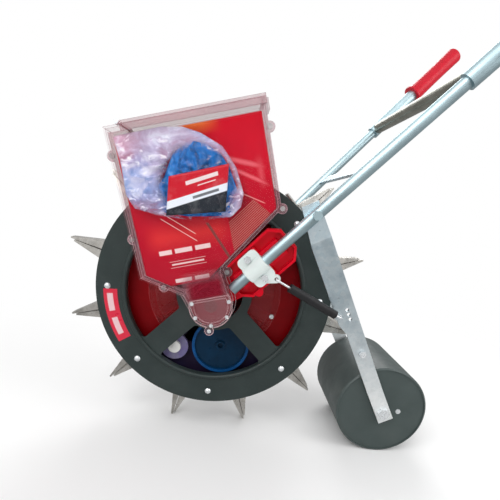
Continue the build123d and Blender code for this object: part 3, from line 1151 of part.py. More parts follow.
def assembly():
    """Every node of the planter, about the axle's centre."""
    return {
        "near_side_disc": side_disc(NEAR_HUB_HOLE_RADIUS),
        "far_side_disc": far_disc(),
        "tread_band": tread_band(),
        "rim_bolts": rim_bolts(),
        "fixed_jaws": round_the_wheel(fixed_jaw()),
        "jaw_pins": round_the_wheel(jaw_pin()),
        "jaw_springs": round_the_wheel(jaw_spring()),
        "seed_distributor": seed_distributor(),
        "distributor_cover": distributor_cover(),
        "cover_screws": cover_screws(),
        "spare_roller_blue": spare_roller(),
        "spare_roller_white": idler_disc(),
        "axle_shaft": axle_shaft(),
        "drum_hub": drum_hub(),
        "metering_roller": metering_roller(),
        **moving_jaws(),
        "hopper_front_shell": hopper_front_shell(),
        "hopper_back_shell": hopper_back_shell(),
        "hopper_screws": hopper_screws(),
        "lid_hinge_pin": lid_hinge_pin(),
        "hopper_lid": hopper_lid(),
        "meter_cover": meter_cover(),
        "meter_cover_screws": meter_cover_screws(),
        "seed_wiper": seed_wiper(),
        "seed_spout": seed_spout(),
        "leaflet": leaflet(),
        "spares_bag": spares_bag(),
        "stay_tubes": both_sides(stay_tube()),
        "handle_tubes": both_sides(handle_tube()),
        "handle_grips": both_sides(handle_grip()),
        "upper_cross_bar": upper_cross_bar(),
        "lower_cross_strap": lower_cross_strap(),
        "frame_bolts": frame_bolts(),
        "hub_bracket_near": hub_bracket(),
        "hub_bracket_far": mirrored(hub_bracket()),
        "tube_clamp_near": tube_clamp(),
        "tube_clamp_far": mirrored(tube_clamp()),
        "clamp_bolts": clamp_bolts(),
        "axle_bushes": axle_bushes(),
        "arm_pivot_bolts": arm_pivot_bolts(),
        "press_arm_near": press_arm(),
        "press_arm_far": mirrored(press_arm()),
        "arm_mid_bolts": arm_mid_bolts(),
        "roller_axle": roller_axle(),
        "press_roller": press_roller(),
        "roller_ends": roller_ends(),
        "roller_plugs": roller_plugs(),
        "spring_rods": both_sides(spring_rod()),
        "spring_sleeves": both_sides(spring_sleeve()),
    }


def main():
    """Sets the machine on the ground, centred, and writes one file per node."""
    nodes = assembly()
    whole = Compound(children=[Compound(shape.solids()) for shape in nodes.values()]).bounding_box()
    shift = Vector(-(whole.min.X + whole.max.X) / 2.0, -(whole.min.Y + whole.max.Y) / 2.0, -GROUND_Z)
    os.makedirs("parts", exist_ok=True)
    for name, shape in nodes.items():
        export_step(Pos(shift) * shape, f"parts/{name}.step")
    print("axle at", tuple(round(v, 4) for v in shift))
    print("size", tuple(round(v, 3) for v in whole.size))


main()
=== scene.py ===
import json
import math

import bmesh
import bpy
from mathutils import Matrix, Vector, noise

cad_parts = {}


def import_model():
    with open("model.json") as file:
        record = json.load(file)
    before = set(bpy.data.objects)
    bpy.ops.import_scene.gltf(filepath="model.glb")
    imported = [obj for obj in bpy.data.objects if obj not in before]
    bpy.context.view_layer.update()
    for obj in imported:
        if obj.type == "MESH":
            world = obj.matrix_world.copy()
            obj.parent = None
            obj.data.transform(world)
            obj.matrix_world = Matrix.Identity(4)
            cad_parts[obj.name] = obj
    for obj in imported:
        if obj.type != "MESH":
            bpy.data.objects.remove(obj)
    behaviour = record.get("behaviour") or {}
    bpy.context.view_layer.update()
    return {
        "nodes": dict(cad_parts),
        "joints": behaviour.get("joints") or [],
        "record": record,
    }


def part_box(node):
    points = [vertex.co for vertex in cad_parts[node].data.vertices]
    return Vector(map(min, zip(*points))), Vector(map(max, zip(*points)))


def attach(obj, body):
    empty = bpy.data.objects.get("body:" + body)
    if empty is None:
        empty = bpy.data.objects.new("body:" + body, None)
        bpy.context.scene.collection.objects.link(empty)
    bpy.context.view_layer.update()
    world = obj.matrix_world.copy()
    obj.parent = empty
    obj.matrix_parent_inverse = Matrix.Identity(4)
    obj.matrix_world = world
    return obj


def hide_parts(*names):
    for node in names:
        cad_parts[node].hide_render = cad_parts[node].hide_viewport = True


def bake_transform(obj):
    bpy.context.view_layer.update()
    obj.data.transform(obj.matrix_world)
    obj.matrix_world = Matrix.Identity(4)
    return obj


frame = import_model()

# Hopper and leaflet, in metres across and up a plane that leans with the hopper and runs through the axle
HOPPER_LEAN = math.radians(14.8)
HOPPER_LEFT = -0.097
HOPPER_RIGHT = 0.128
LEFT_FOOT = (HOPPER_LEFT, 0.060)
RIGHT_FOOT = (HOPPER_RIGHT, 0.127)
THROAT_LEFT = (-0.040, 0.022)
THROAT_RIGHT = (0.026, 0.053)
PAPER_INSET = 0.0032
PAPER_TOP = 0.266
PAPER_FOOT = 0.0365
PAPER_THICKNESS = 0.0005
PAPER_GRID = (60, 60)
PAPER_WAVE = 0.0008
WAVES_ACROSS = 18.0
WAVES_UP = 12.0
WAVE_SLICE = 3.0

# Bag, inner wrap and card. Gaps are before and behind a pouch, in the room that holds it
BAG_GAPS = (0.0012, 0.0006)
BAG_CREASES = (0.050, 0.022, 0.010)
BAG_CREASE_DEPTH = 0.010
BAG_MIDDLE = (-0.008, 0.200)
BAG_OUTLINE = (
    (-0.090, 0.266), (-0.020, 0.267), (0.009, 0.262), (0.034, 0.249), (0.061, 0.226), (0.075, 0.194),
    (0.079, 0.156), (0.072, 0.138), (0.055, 0.126), (-0.004, 0.131), (-0.050, 0.147), (-0.083, 0.163),
    (-0.091, 0.184), (-0.088, 0.226),
)
WRAP_GAPS = (0.003, 0.005)
WRAP_CREASES = (0.030, 0.012, 0.006)
WRAP_CREASE_DEPTH = 0.007
WRAP_MIDDLE = (0.014, 0.184)
WRAP_OUTLINE = (
    (-0.048, 0.183), (-0.030, 0.200), (-0.012, 0.228), (0.001, 0.237), (0.019, 0.243), (0.038, 0.234),
    (0.057, 0.216), (0.066, 0.194), (0.071, 0.161), (0.070, 0.147), (0.056, 0.130), (0.033, 0.131),
    (-0.008, 0.138), (-0.040, 0.149), (-0.048, 0.164),
)
CREASE_FALL = 0.55
POUCH_RINGS = 46
POUCH_SPOKES = 150
MERGE_DISTANCE = 0.00005
CARD_CORNERS = ((-0.0373, 0.1448), (0.0487, 0.1354), (0.0655, 0.1998), (-0.0217, 0.1977))
CARD_THICKNESS = 0.0004
CARD_BOW = 0.0004
CARD_GRID = (16, 24)

# Strip on the near rim
DISC_FACE_Y = -0.065
STICKER_THICKNESS = 0.0003
STICKER_RADII = (0.168, 0.192)
STICKER_ANGLES = (math.radians(181.5), math.radians(211.5))
STICKER_GRID = (5, 36)
BLOCK_RADII = (0.176, 0.186)
BLOCK_TURNS_DEG = ((-176.0, -166.0), (-162.0, -152.0))
BLOCK_SOFT = 0.0006
BLOCK_TURN_SOFT = 0.004

# Print on the leaflet, with painted highlight streaks and a painted glow by the right wall, and a painted
# shade strip along the fold. A patch is left, right, low and high, then its soft edge across and up
WARM_PATCH = (-0.075, 0.044, 0.098, 0.126, 0.012, 0.014)
WARM_HEIGHTS = (0.04, 0.26)
SUN_SIDES = (0.000, 0.050)
SUN_SOFT = 0.014
SUN_HEIGHTS = (0.248, 0.266)
WALL_GLOW = (0.107, 0.113, 0.166, 0.200, 0.004, 0.010)
HIGHLIGHT_STREAKS = (
    (-0.40, (0.060, 0.110, 0.2325, 0.2390, 0.010, 0.0022)),
    (-0.643, (0.066, 0.113, 0.2365, 0.2420, 0.008, 0.0018)),
)
PAGE_SIDE = (0.0490, 0.0500)
PAGE_TOP = (0.158, 0.160)
PAGE_CORNER_SLOPE = -1.18
PAGE_CORNER = (0.2540, 0.2560)
RULE_SLOPE = 0.63
RULE_BAND = (0.041, 0.088)
RULE_SOFT = 0.0004
RULES_PER_METRE = 310.0
RULE_SPACE = 0.60
FOLD_SLOPE = -0.635
FOLD_LINE = (0.070, 0.108, 0.2052, 0.2068, 0.002, 0.0006)
STRIP_SLOPE = -2.4
FOLD_SHADE_STRIP = (0.158, 0.169, 0.056, 0.124, 0.001, 0.001)
THIN_LINE_SLOPE = -0.88
THIN_LINES = (
    (-0.052, -0.004, 0.0955, 0.0965, 0.001, 0.0003),
    (-0.052, -0.004, 0.1065, 0.1075, 0.001, 0.0003),
)
PAPER_BARS = (
    (-0.066, -0.046, 0.0860, 0.0930), (-0.041, -0.014, 0.0860, 0.0930), (-0.009, 0.015, 0.0860, 0.0930),
    (-0.050, 0.001, 0.0680, 0.0705), (-0.053, 0.004, 0.0640, 0.0646), (-0.053, 0.004, 0.0736, 0.0742),
    (-0.050, -0.024, 0.0400, 0.0460), (-0.019, 0.004, 0.0400, 0.0460),
)
BAR_SOFT = 0.0003

# Bands and bars on the card, from its middle
CARD_PALE = (0.86, 0.80, 0.80)
CARD_DARK = (0.030, 0.036, 0.044)
CARD_SLOPE = 0.12
CARD_RED_FOOT = (-0.0002, 0.0004)
CARD_DARK_TOP = (-0.0108, -0.0102)
CARD_BARS = (
    ((-0.014, 0.034, 0.0135, 0.0190), CARD_PALE),
    ((0.002, 0.029, 0.0080, 0.0094), CARD_PALE),
    ((-0.008, 0.031, -0.0074, -0.0036), CARD_DARK),
)

# Where the bag's film is blue, pink, clear over the wrap with painted highlight streaks, and thin along its
# foot
BLUE_PATCH = (-0.092, -0.044, 0.172, 0.226, 0.010, 0.012)
PINK_ACROSS = (-0.050, -0.088)
PINK_UP = (0.215, 0.245)
CLEARING_MIDDLE = (0.016, 0.180)
CLEARING_EDGE = (0.050, 0.064)
CLEARING_SHEEN = (0.02, 0.05)
FOOT_SLOPE = -0.405
FOOT_FADE = (0.128, 0.152)

# Places of other finishes: arms paler towards their foot, painted reflection lines along clear edges that
# are paler low down, the neck's painted red reflection, the drum's painted shade sector and the two spare
# discs, the blue one with a painted highlight on its rim
PALE_FOOT_HEIGHTS = (0.10, 0.30)
PALE_FOOT_RAGGED = 0.02
PALE_FOOT_METALLIC = 0.45
RIM_HEIGHTS = (0.36, 0.46)
GLOW_FOOT = (0.012, 0.016)
GLOW_TOP = (0.038, 0.060)
GLOW_SIDES = (-0.033, 0.027)
GLOW_SOFT = 0.007
REFLECTION_COVER = 0.48
SHADE_SECTOR_SOFT = 0.012
BLUE_DISC_PLACE = (0.017, -0.099)
BLUE_DISC_HIGHLIGHT_RING = 0.047
WHITE_DISC_PLACE = (-0.067, -0.107)
WHITE_DISC_RING = 0.0118
RING_SOFT = 0.0006

# Shader values: the band that most of a noise lies in, dust, the painted reflection lines at sharp edges and
# plastic that turns away
NOISE_BAND = (0.3, 0.7)
DUST = (0.16, 0.17, 0.165)
DUST_SHARE = 0.12
EDGE_REACH = 0.0015
EDGE_TURN = (0.98, 0.82)
EDGE_SAMPLES = 6
FACING_BLEND = 0.3
FACING_START = 0.35
SHADOW_SHARE = 0.45

# Camera, from the photograph's fitted view
IMAGE_SIDE = 500.0
FOCAL_PIXELS = 373.9
AXIS_PIXEL = (243.0, 288.0)
CAMERA_PLACE = Vector((-0.0782, -0.6993, 0.4246))
CAMERA_YAW = 0.0296
CAMERA_PITCH = 0.216
CAMERA_ROLL = 0.0837
SENSOR_WIDTH = 36.0
CLIP_START = 0.01

# Light: lamps with their place, side and power, the sky's strength on plain and shiny faces, and the floor
LAMP_TARGET = (0.0, 0.0, 0.3)
LAMPS = (
    ("key_lamp", (-1.1, -1.6, 2.0), 1.8, 34.0),
    ("side_lamp", (1.8, -0.9, 1.3), 1.2, 16.0),
    ("back_lamp", (0.4, 1.8, 1.8), 1.4, 24.0),
)
SKY_LIGHT = 0.55
BRIGHT_WAY = (-0.25, -0.60, 0.76)
BRIGHT_TURN = (-0.2, 0.85)
SKY_SHINE = (0.38, 1.0)
FLOOR_SHINE = 0.40
FLOOR_REACH = 30.0
FLOOR_FADE = (0.42, 1.1)
FLOOR_TONE = (0.92, 0.92, 0.92, 1.0)
WHITE = (1.0, 1.0, 1.0, 1.0)

JOINT_PLACES = {joint["name"]: Vector(joint["pos_m"]) for joint in frame["joints"]}
AXLE = JOINT_PLACES["wheel_spin"]
HOPPER_FRAME = Matrix.Translation(AXLE) @ Matrix.Rotation(-HOPPER_LEAN, 4, "Y")


# Shader helpers
class Nodes:
    """Short calls for the nodes of one tree."""

    def __init__(self, tree):
        self.tree = tree

    def node(self, kind, **settings):
        made = self.tree.nodes.new(kind)
        for key, value in settings.items():
            setattr(made, key, value)
        return made

    def feed(self, socket, value):
        if isinstance(value, bpy.types.NodeSocket):
            self.tree.links.new(value, socket)
        else:
            socket.default_value = value

    def math(self, operation, a, b=0.0, clamp=False):
        made = self.node("ShaderNodeMath", operation=operation, use_clamp=clamp)
        self.feed(made.inputs[0], a)
        self.feed(made.inputs[1], b)
        return made.outputs[0]

    def plus(self, a, b, clamp=False):
        return self.math("ADD", a, b, clamp)

    def less(self, a, b):
        return self.math("SUBTRACT", a, b)

    def times(self, a, b):
        return self.math("MULTIPLY", a, b)

    def most(self, a, b):
        return self.math("MAXIMUM", a, b)

    def dot(self, a, b):
        made = self.node("ShaderNodeVectorMath", operation="DOT_PRODUCT")
        self.feed(made.inputs[0], a)
        self.feed(made.inputs[1], b)
        return made.outputs["Value"]

    def span(self, value, low, high, to_low=0.0, to_high=1.0):
        """A value carried from one range to another and held at its ends."""
        made = self.node("ShaderNodeMapRange")
        self.feed(made.inputs["Value"], value)
        for key, number in (("From Min", low), ("From Max", high), ("To Min", to_low), ("To Max", to_high)):
            self.feed(made.inputs[key], number)
        return made.outputs["Result"]

    def choose(self, factor, a, b):
        """The first number where the factor is nothing and the second where it is one."""
        made = self.node("ShaderNodeMix", data_type="FLOAT")
        self.feed(made.inputs["Factor"], factor)
        self.feed(made.inputs["A"], a)
        self.feed(made.inputs["B"], b)
        return made.outputs["Result"]


class Shader(Nodes):
    """A material with a Principled surface."""

    def __init__(self, name):
        self.material = bpy.data.materials.new(name)
        self.material.use_nodes = True
        super().__init__(self.material.node_tree)
        self.surface = self.tree.nodes["Principled BSDF"]
        self.place = self.node("ShaderNodeTexCoord").outputs["Object"]

    def set(self, **values):
        for key, value in values.items():
            self.feed(self.surface.inputs[key.replace("_", " ")], value)

    def stretched(self, stretch):
        mapping = self.node("ShaderNodeMapping")
        self.feed(mapping.inputs["Vector"], self.place)
        mapping.inputs["Scale"].default_value = stretch
        return mapping.outputs["Vector"]

    def noise(self, scale, detail=4.0, stretch=None, roughness=0.55, warp=0.0):
        made = self.node("ShaderNodeTexNoise")
        self.feed(made.inputs["Vector"], self.stretched(stretch) if stretch else self.place)
        made.inputs["Scale"].default_value = scale
        made.inputs["Detail"].default_value = detail
        made.inputs["Roughness"].default_value = roughness
        made.inputs["Distortion"].default_value = warp
        return made.outputs["Fac"]

    def wander(self, scale, low, high, detail=4.0, stretch=None):
        """A value that drifts between two numbers over the surface."""
        return self.span(self.noise(scale, detail, stretch), *NOISE_BAND, low, high)

    def spots(self, scale, detail, start, full, share):
        """Nothing over most of the surface and a share in scattered spots."""
        return self.span(self.noise(scale, detail), start, full, 0.0, share)

    def cells(self, scale, output="Color"):
        made = self.node("ShaderNodeTexVoronoi")
        self.feed(made.inputs["Vector"], self.place)
        made.inputs["Scale"].default_value = scale
        return made.outputs[output]

    def blend(self, factor, a, b, mode="MIX"):
        made = self.node("ShaderNodeMix", data_type="RGBA", blend_type=mode)
        self.feed(made.inputs["Factor"], factor)
        self.feed(made.inputs["A"], a if isinstance(a, bpy.types.NodeSocket) else (*a, 1.0))
        self.feed(made.inputs["B"], b if isinstance(b, bpy.types.NodeSocket) else (*b, 1.0))
        return made.outputs["Result"]

    def bump(self, height, strength, distance):
        made = self.node("ShaderNodeBump")
        made.inputs["Strength"].default_value = strength
        made.inputs["Distance"].default_value = distance
        self.feed(made.inputs["Height"], height)
        self.feed(self.surface.inputs["Normal"], made.outputs["Normal"])
        return self

    def axes(self):
        """How far along X and along Z a point lies."""
        made = self.node("ShaderNodeSeparateXYZ")
        self.feed(made.inputs["Vector"], self.place)
        return made.outputs["X"], made.outputs["Z"]

    def around(self, x, z):
        """The distance from an axis along Y."""
        here_x, here_z = self.axes()
        dx = self.less(here_x, x)
        dz = self.less(here_z, z)
        return self.math("SQRT", self.plus(self.times(dx, dx), self.times(dz, dz)))

    def edges(self):
        """One at the sharp edges of the mesh and nothing on its flat faces."""
        rounded = self.node("ShaderNodeBevel", samples=EDGE_SAMPLES)
        rounded.inputs["Radius"].default_value = EDGE_REACH
        turn = self.dot(rounded.outputs["Normal"], self.node("ShaderNodeNewGeometry").outputs["Normal"])
        return self.span(self.math("ABSOLUTE", turn), *EDGE_TURN)

    def between(self, value, low, high, soft):
        """One inside a band and nothing outside it, with a soft edge."""
        rise = self.span(value, low - soft, low + soft)
        fall = self.span(value, high - soft, high + soft, 1.0, 0.0)
        return self.times(rise, fall)

    def patch(self, u, v, left, right, low, high, soft_across, soft_up):
        """One inside a rectangle and nothing outside it, with soft edges."""
        return self.times(self.between(u, left, right, soft_across), self.between(v, low, high, soft_up))

    def sloped(self, u, v, slope):
        """The height of the line with a slope that runs through a point."""
        return self.less(v, self.times(u, slope))


def shadowed(tone):
    """A darker tone of a colour."""
    return tuple(SHADOW_SHARE * part for part in tone)


# Materials
def moulded(name, dark, light, rough, shine=0.5):
    """Moulded or painted cover with an uneven tone, thin dust and a fine grain."""
    shader = Shader(name)
    tone = shader.blend(shader.noise(26.0), dark, light)
    smudge = shader.spots(11.0, detail=6.0, start=0.52, full=0.78, share=DUST_SHARE)
    specks = shader.spots(420.0, detail=2.0, start=0.66, full=0.74, share=DUST_SHARE)
    shader.set(Base_Color=shader.blend(shader.most(smudge, specks), tone, DUST))
    shader.set(Roughness=shader.wander(34.0, rough - 0.08, rough + 0.1), Specular_IOR_Level=shine)
    return shader.bump(shader.noise(900.0, detail=2.0), strength=0.12, distance=0.0006).material


def metal(name, dark, light, rough, stretch=None, spangle=0.0, pale_foot=None, bare=1.0):
    """Bare or plated metal, streaked along its length, with a spangle, or paler and less metallic towards
    its foot, where given.
    """
    shader = Shader(name)
    tone = shader.blend(shader.wander(45.0, 0.0, 1.0, detail=6.0, stretch=stretch), dark, light)
    if pale_foot:
        z = shader.axes()[1]
        ragged = shader.plus(z, shader.wander(24.0, -PALE_FOOT_RAGGED, PALE_FOOT_RAGGED, detail=5.0))
        tone = shader.blend(shader.span(ragged, *PALE_FOOT_HEIGHTS, 0.85, 0.0), tone, pale_foot)
        bare = shader.span(ragged, *PALE_FOOT_HEIGHTS, PALE_FOOT_METALLIC, 1.0)
    if spangle:
        grain = shader.node("ShaderNodeRGBToBW")
        shader.feed(grain.inputs["Color"], shader.cells(170.0))
        tone = shader.blend(spangle, tone, grain.outputs["Val"], "SOFT_LIGHT")
    marks = shader.spots(210.0, detail=3.0, start=0.64, full=0.76, share=0.35)
    tone = shader.blend(marks, tone, shadowed(dark))
    gloss = shader.wander(70.0, rough - 0.07, rough + 0.09, detail=5.0, stretch=stretch)
    shader.set(Base_Color=tone, Metallic=bare, Roughness=gloss)
    grit = shader.noise(500.0, detail=3.0, stretch=stretch)
    return shader.bump(grit, strength=0.08, distance=0.0005).material


def gloss_plastic(name, dark, light, rough, grain=0.05, shine=0.35):
    """Shiny moulded plastic with slight flow marks."""
    shader = Shader(name)
    tone = shader.blend(shader.noise(38.0, detail=5.0), dark, light)
    shader.set(Base_Color=tone, Roughness=shader.wander(90.0, rough - 0.05, rough + 0.07))
    shader.set(Coat_Weight=0.3 * shine, Coat_Roughness=0.15, Specular_IOR_Level=shine)
    return shader.bump(shader.noise(320.0, detail=3.0), strength=grain, distance=0.0008).material


def rubber(name, dark, light, rough):
    """Soft rubber with a fine pebble."""
    shader = Shader(name)
    tone = shader.blend(shader.noise(60.0, detail=5.0), dark, light)
    shader.set(Base_Color=tone, Roughness=shader.wander(150.0, rough - 0.06, rough + 0.08))
    shader.set(Specular_IOR_Level=0.25)
    return shader.bump(shader.cells(1400.0, "Distance"), strength=0.1, distance=0.0004).material


def neck_glow(shader):
    """One in the hopper's neck above its round cover, fading out up the seed box: where the painted red
    reflection lies.
    """
    x, z = shader.axes()
    lean = math.tan(HOPPER_LEAN)
    height = shader.less(shader.sloped(x, z, lean), AXLE.z - AXLE.x * lean)
    across = shader.less(shader.sloped(z, x, -lean), AXLE.x + AXLE.z * lean)
    upright = shader.times(shader.span(height, *GLOW_FOOT), shader.span(height, *GLOW_TOP, 1.0, 0.0))
    return shader.times(shader.between(across, *GLOW_SIDES, GLOW_SOFT), upright)


def clear(name, tint, rim, face, side, line, low_rim=None, red_reflection=None):
    """Clear moulded plastic: hardly seen face on, hazy where it turns away, with a painted line of reflected
    light and shade along its edges.

    The red reflection is painted: the red of the leaflet, mirrored in the walls of the neck.
    """
    shader = Shader(name)
    facing = shader.node("ShaderNodeLayerWeight")
    facing.inputs["Blend"].default_value = FACING_BLEND
    depth = shader.span(facing.outputs["Facing"], FACING_START, 1.0, face, side)
    edges = shader.edges()
    haze = shader.spots(30.0, detail=6.0, start=0.5, full=0.8, share=0.02)
    cover = shader.plus(shader.most(depth, shader.times(edges, line)), haze, clamp=True)
    # Painted reflection: the colour of the line along the edges, paler low down where a low colour is given.
    shade = rim
    if low_rim:
        z = shader.axes()[1]
        shade = shader.blend(shader.span(z, *RIM_HEIGHTS), low_rim, rim)
    tone = shader.blend(shader.noise(16.0), tint, rim)
    # Painted reflection: the leaflet's red laid over the neck's walls, with more cover there.
    if red_reflection:
        glow = neck_glow(shader)
        tone = shader.blend(glow, tone, red_reflection)
        cover = shader.most(cover, shader.times(glow, REFLECTION_COVER))
    shader.set(Base_Color=shader.blend(edges, tone, shade), Alpha=cover, IOR=1.49)
    shader.set(Roughness=shader.wander(55.0, 0.05, 0.14), Specular_IOR_Level=0.12)
    return shader.bump(shader.noise(24.0, detail=3.0), strength=0.05, distance=0.002).material


def drum_plastic():
    """The drum's red plastic, with painted shade: dark and bluish in the sector at its foot, where the spare
    discs lie.
    """
    shader = Shader("drum_plastic")
    x, z = shader.axes()
    tone = shader.blend(shader.noise(38.0, detail=5.0), (0.145, 0.0005, 0.002), (0.25, 0.0008, 0.004))
    # Painted shade: below the axle, in a sector at the drum's foot, the red turns dark navy.
    aside = shader.math("ABSOLUTE", shader.less(x, AXLE.x))
    shade_sector = shader.less(shader.less(AXLE.z, z), aside)
    dark = shader.blend(shader.noise(50.0, detail=5.0), (0.002, 0.005, 0.014), (0.006, 0.014, 0.040))
    tone = shader.blend(shader.span(shade_sector, 0.0, SHADE_SECTOR_SOFT, 0.0, 0.95), tone, dark)
    shader.set(Base_Color=tone, Roughness=shader.wander(90.0, 0.3, 0.42), Specular_IOR_Level=0.08)
    return shader.bump(shader.noise(320.0, detail=3.0), strength=0.05, distance=0.0008).material


def ringed(name, place, radius, inside, outside, shine):
    """Gloss plastic in two tones that change at a distance from a disc's axis."""
    shader = Shader(name)
    away = shader.around(AXLE.x + place[0], AXLE.z + place[1])
    tone = shader.blend(shader.span(away, radius - RING_SOFT, radius + RING_SOFT), inside, outside)
    stain = shader.spots(60.0, detail=5.0, start=0.4, full=0.8, share=0.5)
    tone = shader.blend(stain, tone, shadowed(inside))
    shader.set(Base_Color=tone, Roughness=shader.wander(90.0, 0.25, 0.38), Specular_IOR_Level=shine)
    return shader.bump(shader.noise(320.0, detail=3.0), strength=0.05, distance=0.0008).material


def printed_paper():
    """The red leaflet: warm at the top, a darker ruled page, soft painted highlight streaks, plain bars and
    a fold with a painted shade strip.
    """
    shader = Shader("printed_paper")
    u, v = shader.axes()
    tone = shader.blend(shader.span(v, *WARM_HEIGHTS), (0.44, 0.007, 0.024), (0.68, 0.005, 0.022))
    shade = shader.spots(14.0, detail=5.0, start=0.35, full=0.75, share=0.5)
    tone = shader.blend(shade, tone, (0.36, 0.003, 0.016))
    warm = shader.patch(u, v, *WARM_PATCH)
    tone = shader.blend(shader.times(warm, 0.6), tone, (0.80, 0.045, 0.040))
    sun = shader.times(shader.between(u, *SUN_SIDES, SUN_SOFT), shader.span(v, *SUN_HEIGHTS))
    tone = shader.blend(sun, tone, (0.85, 0.17, 0.03))
    tone = painted_highlights(shader, tone, u, v)
    tone = ruled_page(shader, tone, u, v)
    tone = plain_marks(shader, tone, u, v)
    shader.set(Base_Color=tone, Roughness=shader.wander(40.0, 0.3, 0.45), Specular_IOR_Level=0.1)
    return shader.bump(shader.noise(30.0), strength=0.18, distance=0.004).material


def painted_highlights(shader, tone, u, v):
    """Painted highlights: soft pale streaks that fall towards the right wall, and a painted glow of light
    beside it.
    """
    glow = shader.times(shader.patch(u, v, *WALL_GLOW), 0.6)
    for slope, patch in HIGHLIGHT_STREAKS:
        glow = shader.most(glow, shader.patch(u, shader.sloped(u, v, slope), *patch))
    return shader.blend(shader.times(glow, 0.55), tone, (0.95, 0.22, 0.26))


def ruled_page(shader, tone, u, v):
    """The darker folded page with its rules, and the pale fold line above it."""
    page = shader.times(shader.span(u, *PAGE_SIDE), shader.span(v, *PAGE_TOP, 1.0, 0.0))
    corner = shader.span(shader.sloped(u, v, PAGE_CORNER_SLOPE), *PAGE_CORNER, 1.0, 0.0)
    page = shader.times(page, corner)
    tone = shader.blend(shader.times(page, 0.7), tone, (0.25, 0.006, 0.016))
    across = shader.sloped(u, v, RULE_SLOPE)
    step = shader.math("FRACT", shader.times(across, RULES_PER_METRE))
    band = shader.between(across, *RULE_BAND, RULE_SOFT)
    rules = shader.times(shader.math("GREATER_THAN", step, RULE_SPACE), band)
    rules = shader.times(rules, page)
    tone = shader.blend(shader.times(rules, 0.55), tone, (0.72, 0.30, 0.24))
    fold = shader.patch(u, shader.sloped(u, v, FOLD_SLOPE), *FOLD_LINE)
    return shader.blend(shader.times(fold, 0.6), tone, (0.95, 0.42, 0.42))


def plain_marks(shader, tone, u, v):
    """A painted shade strip in grey along the fold, two thin lines and plain pale bars."""
    # Painted shade: a dark grey strip where the fold's gap lies.
    strip = shader.patch(shader.sloped(u, v, STRIP_SLOPE), v, *FOLD_SHADE_STRIP)
    tone = shader.blend(shader.times(strip, 0.8), tone, (0.14, 0.06, 0.055))
    edge = shader.sloped(u, v, THIN_LINE_SLOPE)
    for line in THIN_LINES:
        tone = shader.blend(shader.patch(u, edge, *line), tone, (0.9, 0.75, 0.72))
    bars = 0.0
    for bar in PAPER_BARS:
        bars = shader.most(bars, shader.patch(u, v, *bar, BAR_SOFT, BAR_SOFT))
    return shader.blend(shader.times(bars, 0.8), tone, (0.92, 0.74, 0.74))


def film():
    """Crumpled thin film: milky, pink and lilac in its folds with painted highlights along its crinkles, and
    nearly clear over the blue wrap but for painted highlight streaks.
    """
    shader = Shader("bag_film")
    u, v = shader.axes()
    folds = shader.noise(20.0, detail=5.0, stretch=(1.0, 1.0, 1.5), warp=1.4)
    fine = shader.noise(55.0, detail=5.0, stretch=(1.0, 1.0, 1.8), roughness=0.6, warp=1.0)
    drift = shader.span(shader.noise(11.0, detail=2.0), 0.40, 0.60)
    tone = shader.blend(drift, (0.60, 0.50, 0.70), (0.38, 0.47, 0.82))
    tone = shader.blend(shader.span(folds, 0.34, 0.45, 0.6, 0.0), tone, (0.52, 0.22, 0.36))
    blue = shader.times(shader.patch(u, v, *BLUE_PATCH), shader.span(folds, 0.42, 0.62, 0.75, 0.1))
    tone = shader.blend(blue, tone, (0.20, 0.40, 0.82))
    pink = shader.times(shader.span(u, *PINK_ACROSS), shader.span(v, *PINK_UP))
    tone = shader.blend(shader.times(pink, 0.7), tone, (0.82, 0.36, 0.44))
    # Painted highlights: pale lilac on the fold tops and white on the fine crinkles.
    tone = shader.blend(shader.span(folds, 0.50, 0.64, 0.0, 0.85), tone, (0.78, 0.80, 0.94))
    tone = shader.blend(shader.span(fine, 0.57, 0.68, 0.0, 0.85), tone, (0.96, 0.95, 0.99))
    away = shader.plus(shader.around(*CLEARING_MIDDLE), shader.span(folds, *NOISE_BAND, 0.006, -0.006))
    milk = shader.times(shader.span(away, *CLEARING_EDGE), shader.span(folds, 0.34, 0.56, 0.60, 0.88))
    foot = shader.plus(shader.sloped(u, v, FOOT_SLOPE), shader.span(fine, *NOISE_BAND, -0.008, 0.008))
    milk = shader.times(milk, shader.span(foot, *FOOT_FADE, 0.30, 1.0))
    # Painted highlight streaks: over the clear part, the fine crinkles show their pale colour.
    sheen = shader.span(away, *CLEARING_SHEEN, 0.3, 1.0)
    streak = shader.times(shader.span(fine, 0.54, 0.66, 0.0, 0.45), sheen)
    shader.set(Base_Color=tone, Alpha=shader.plus(milk, streak, clamp=True), IOR=1.5)
    shader.set(Roughness=shader.wander(80.0, 0.12, 0.28), Specular_IOR_Level=0.3)
    return shader.bump(fine, strength=0.5, distance=0.004).material


def blue_film():
    """The blue inner wrap, with painted shade dark in its folds and painted highlights pale along its
    creases.
    """
    shader = Shader("blue_wrap")
    folds = shader.noise(62.0, detail=6.0, stretch=(1.0, 1.0, 0.55), roughness=0.66, warp=1.2)
    # Painted shade: darkest in the hollows of the folds.
    tone = shader.blend(shader.span(folds, 0.34, 0.54), (0.003, 0.040, 0.14), (0.004, 0.15, 0.50))
    # Painted highlights: pale blue along the crease tops.
    tone = shader.blend(shader.span(folds, 0.56, 0.72, 0.0, 0.6), tone, (0.08, 0.36, 0.82))
    shader.set(Base_Color=tone, Roughness=shader.wander(60.0, 0.16, 0.34), Specular_IOR_Level=0.3)
    return shader.bump(folds, strength=0.6, distance=0.004).material


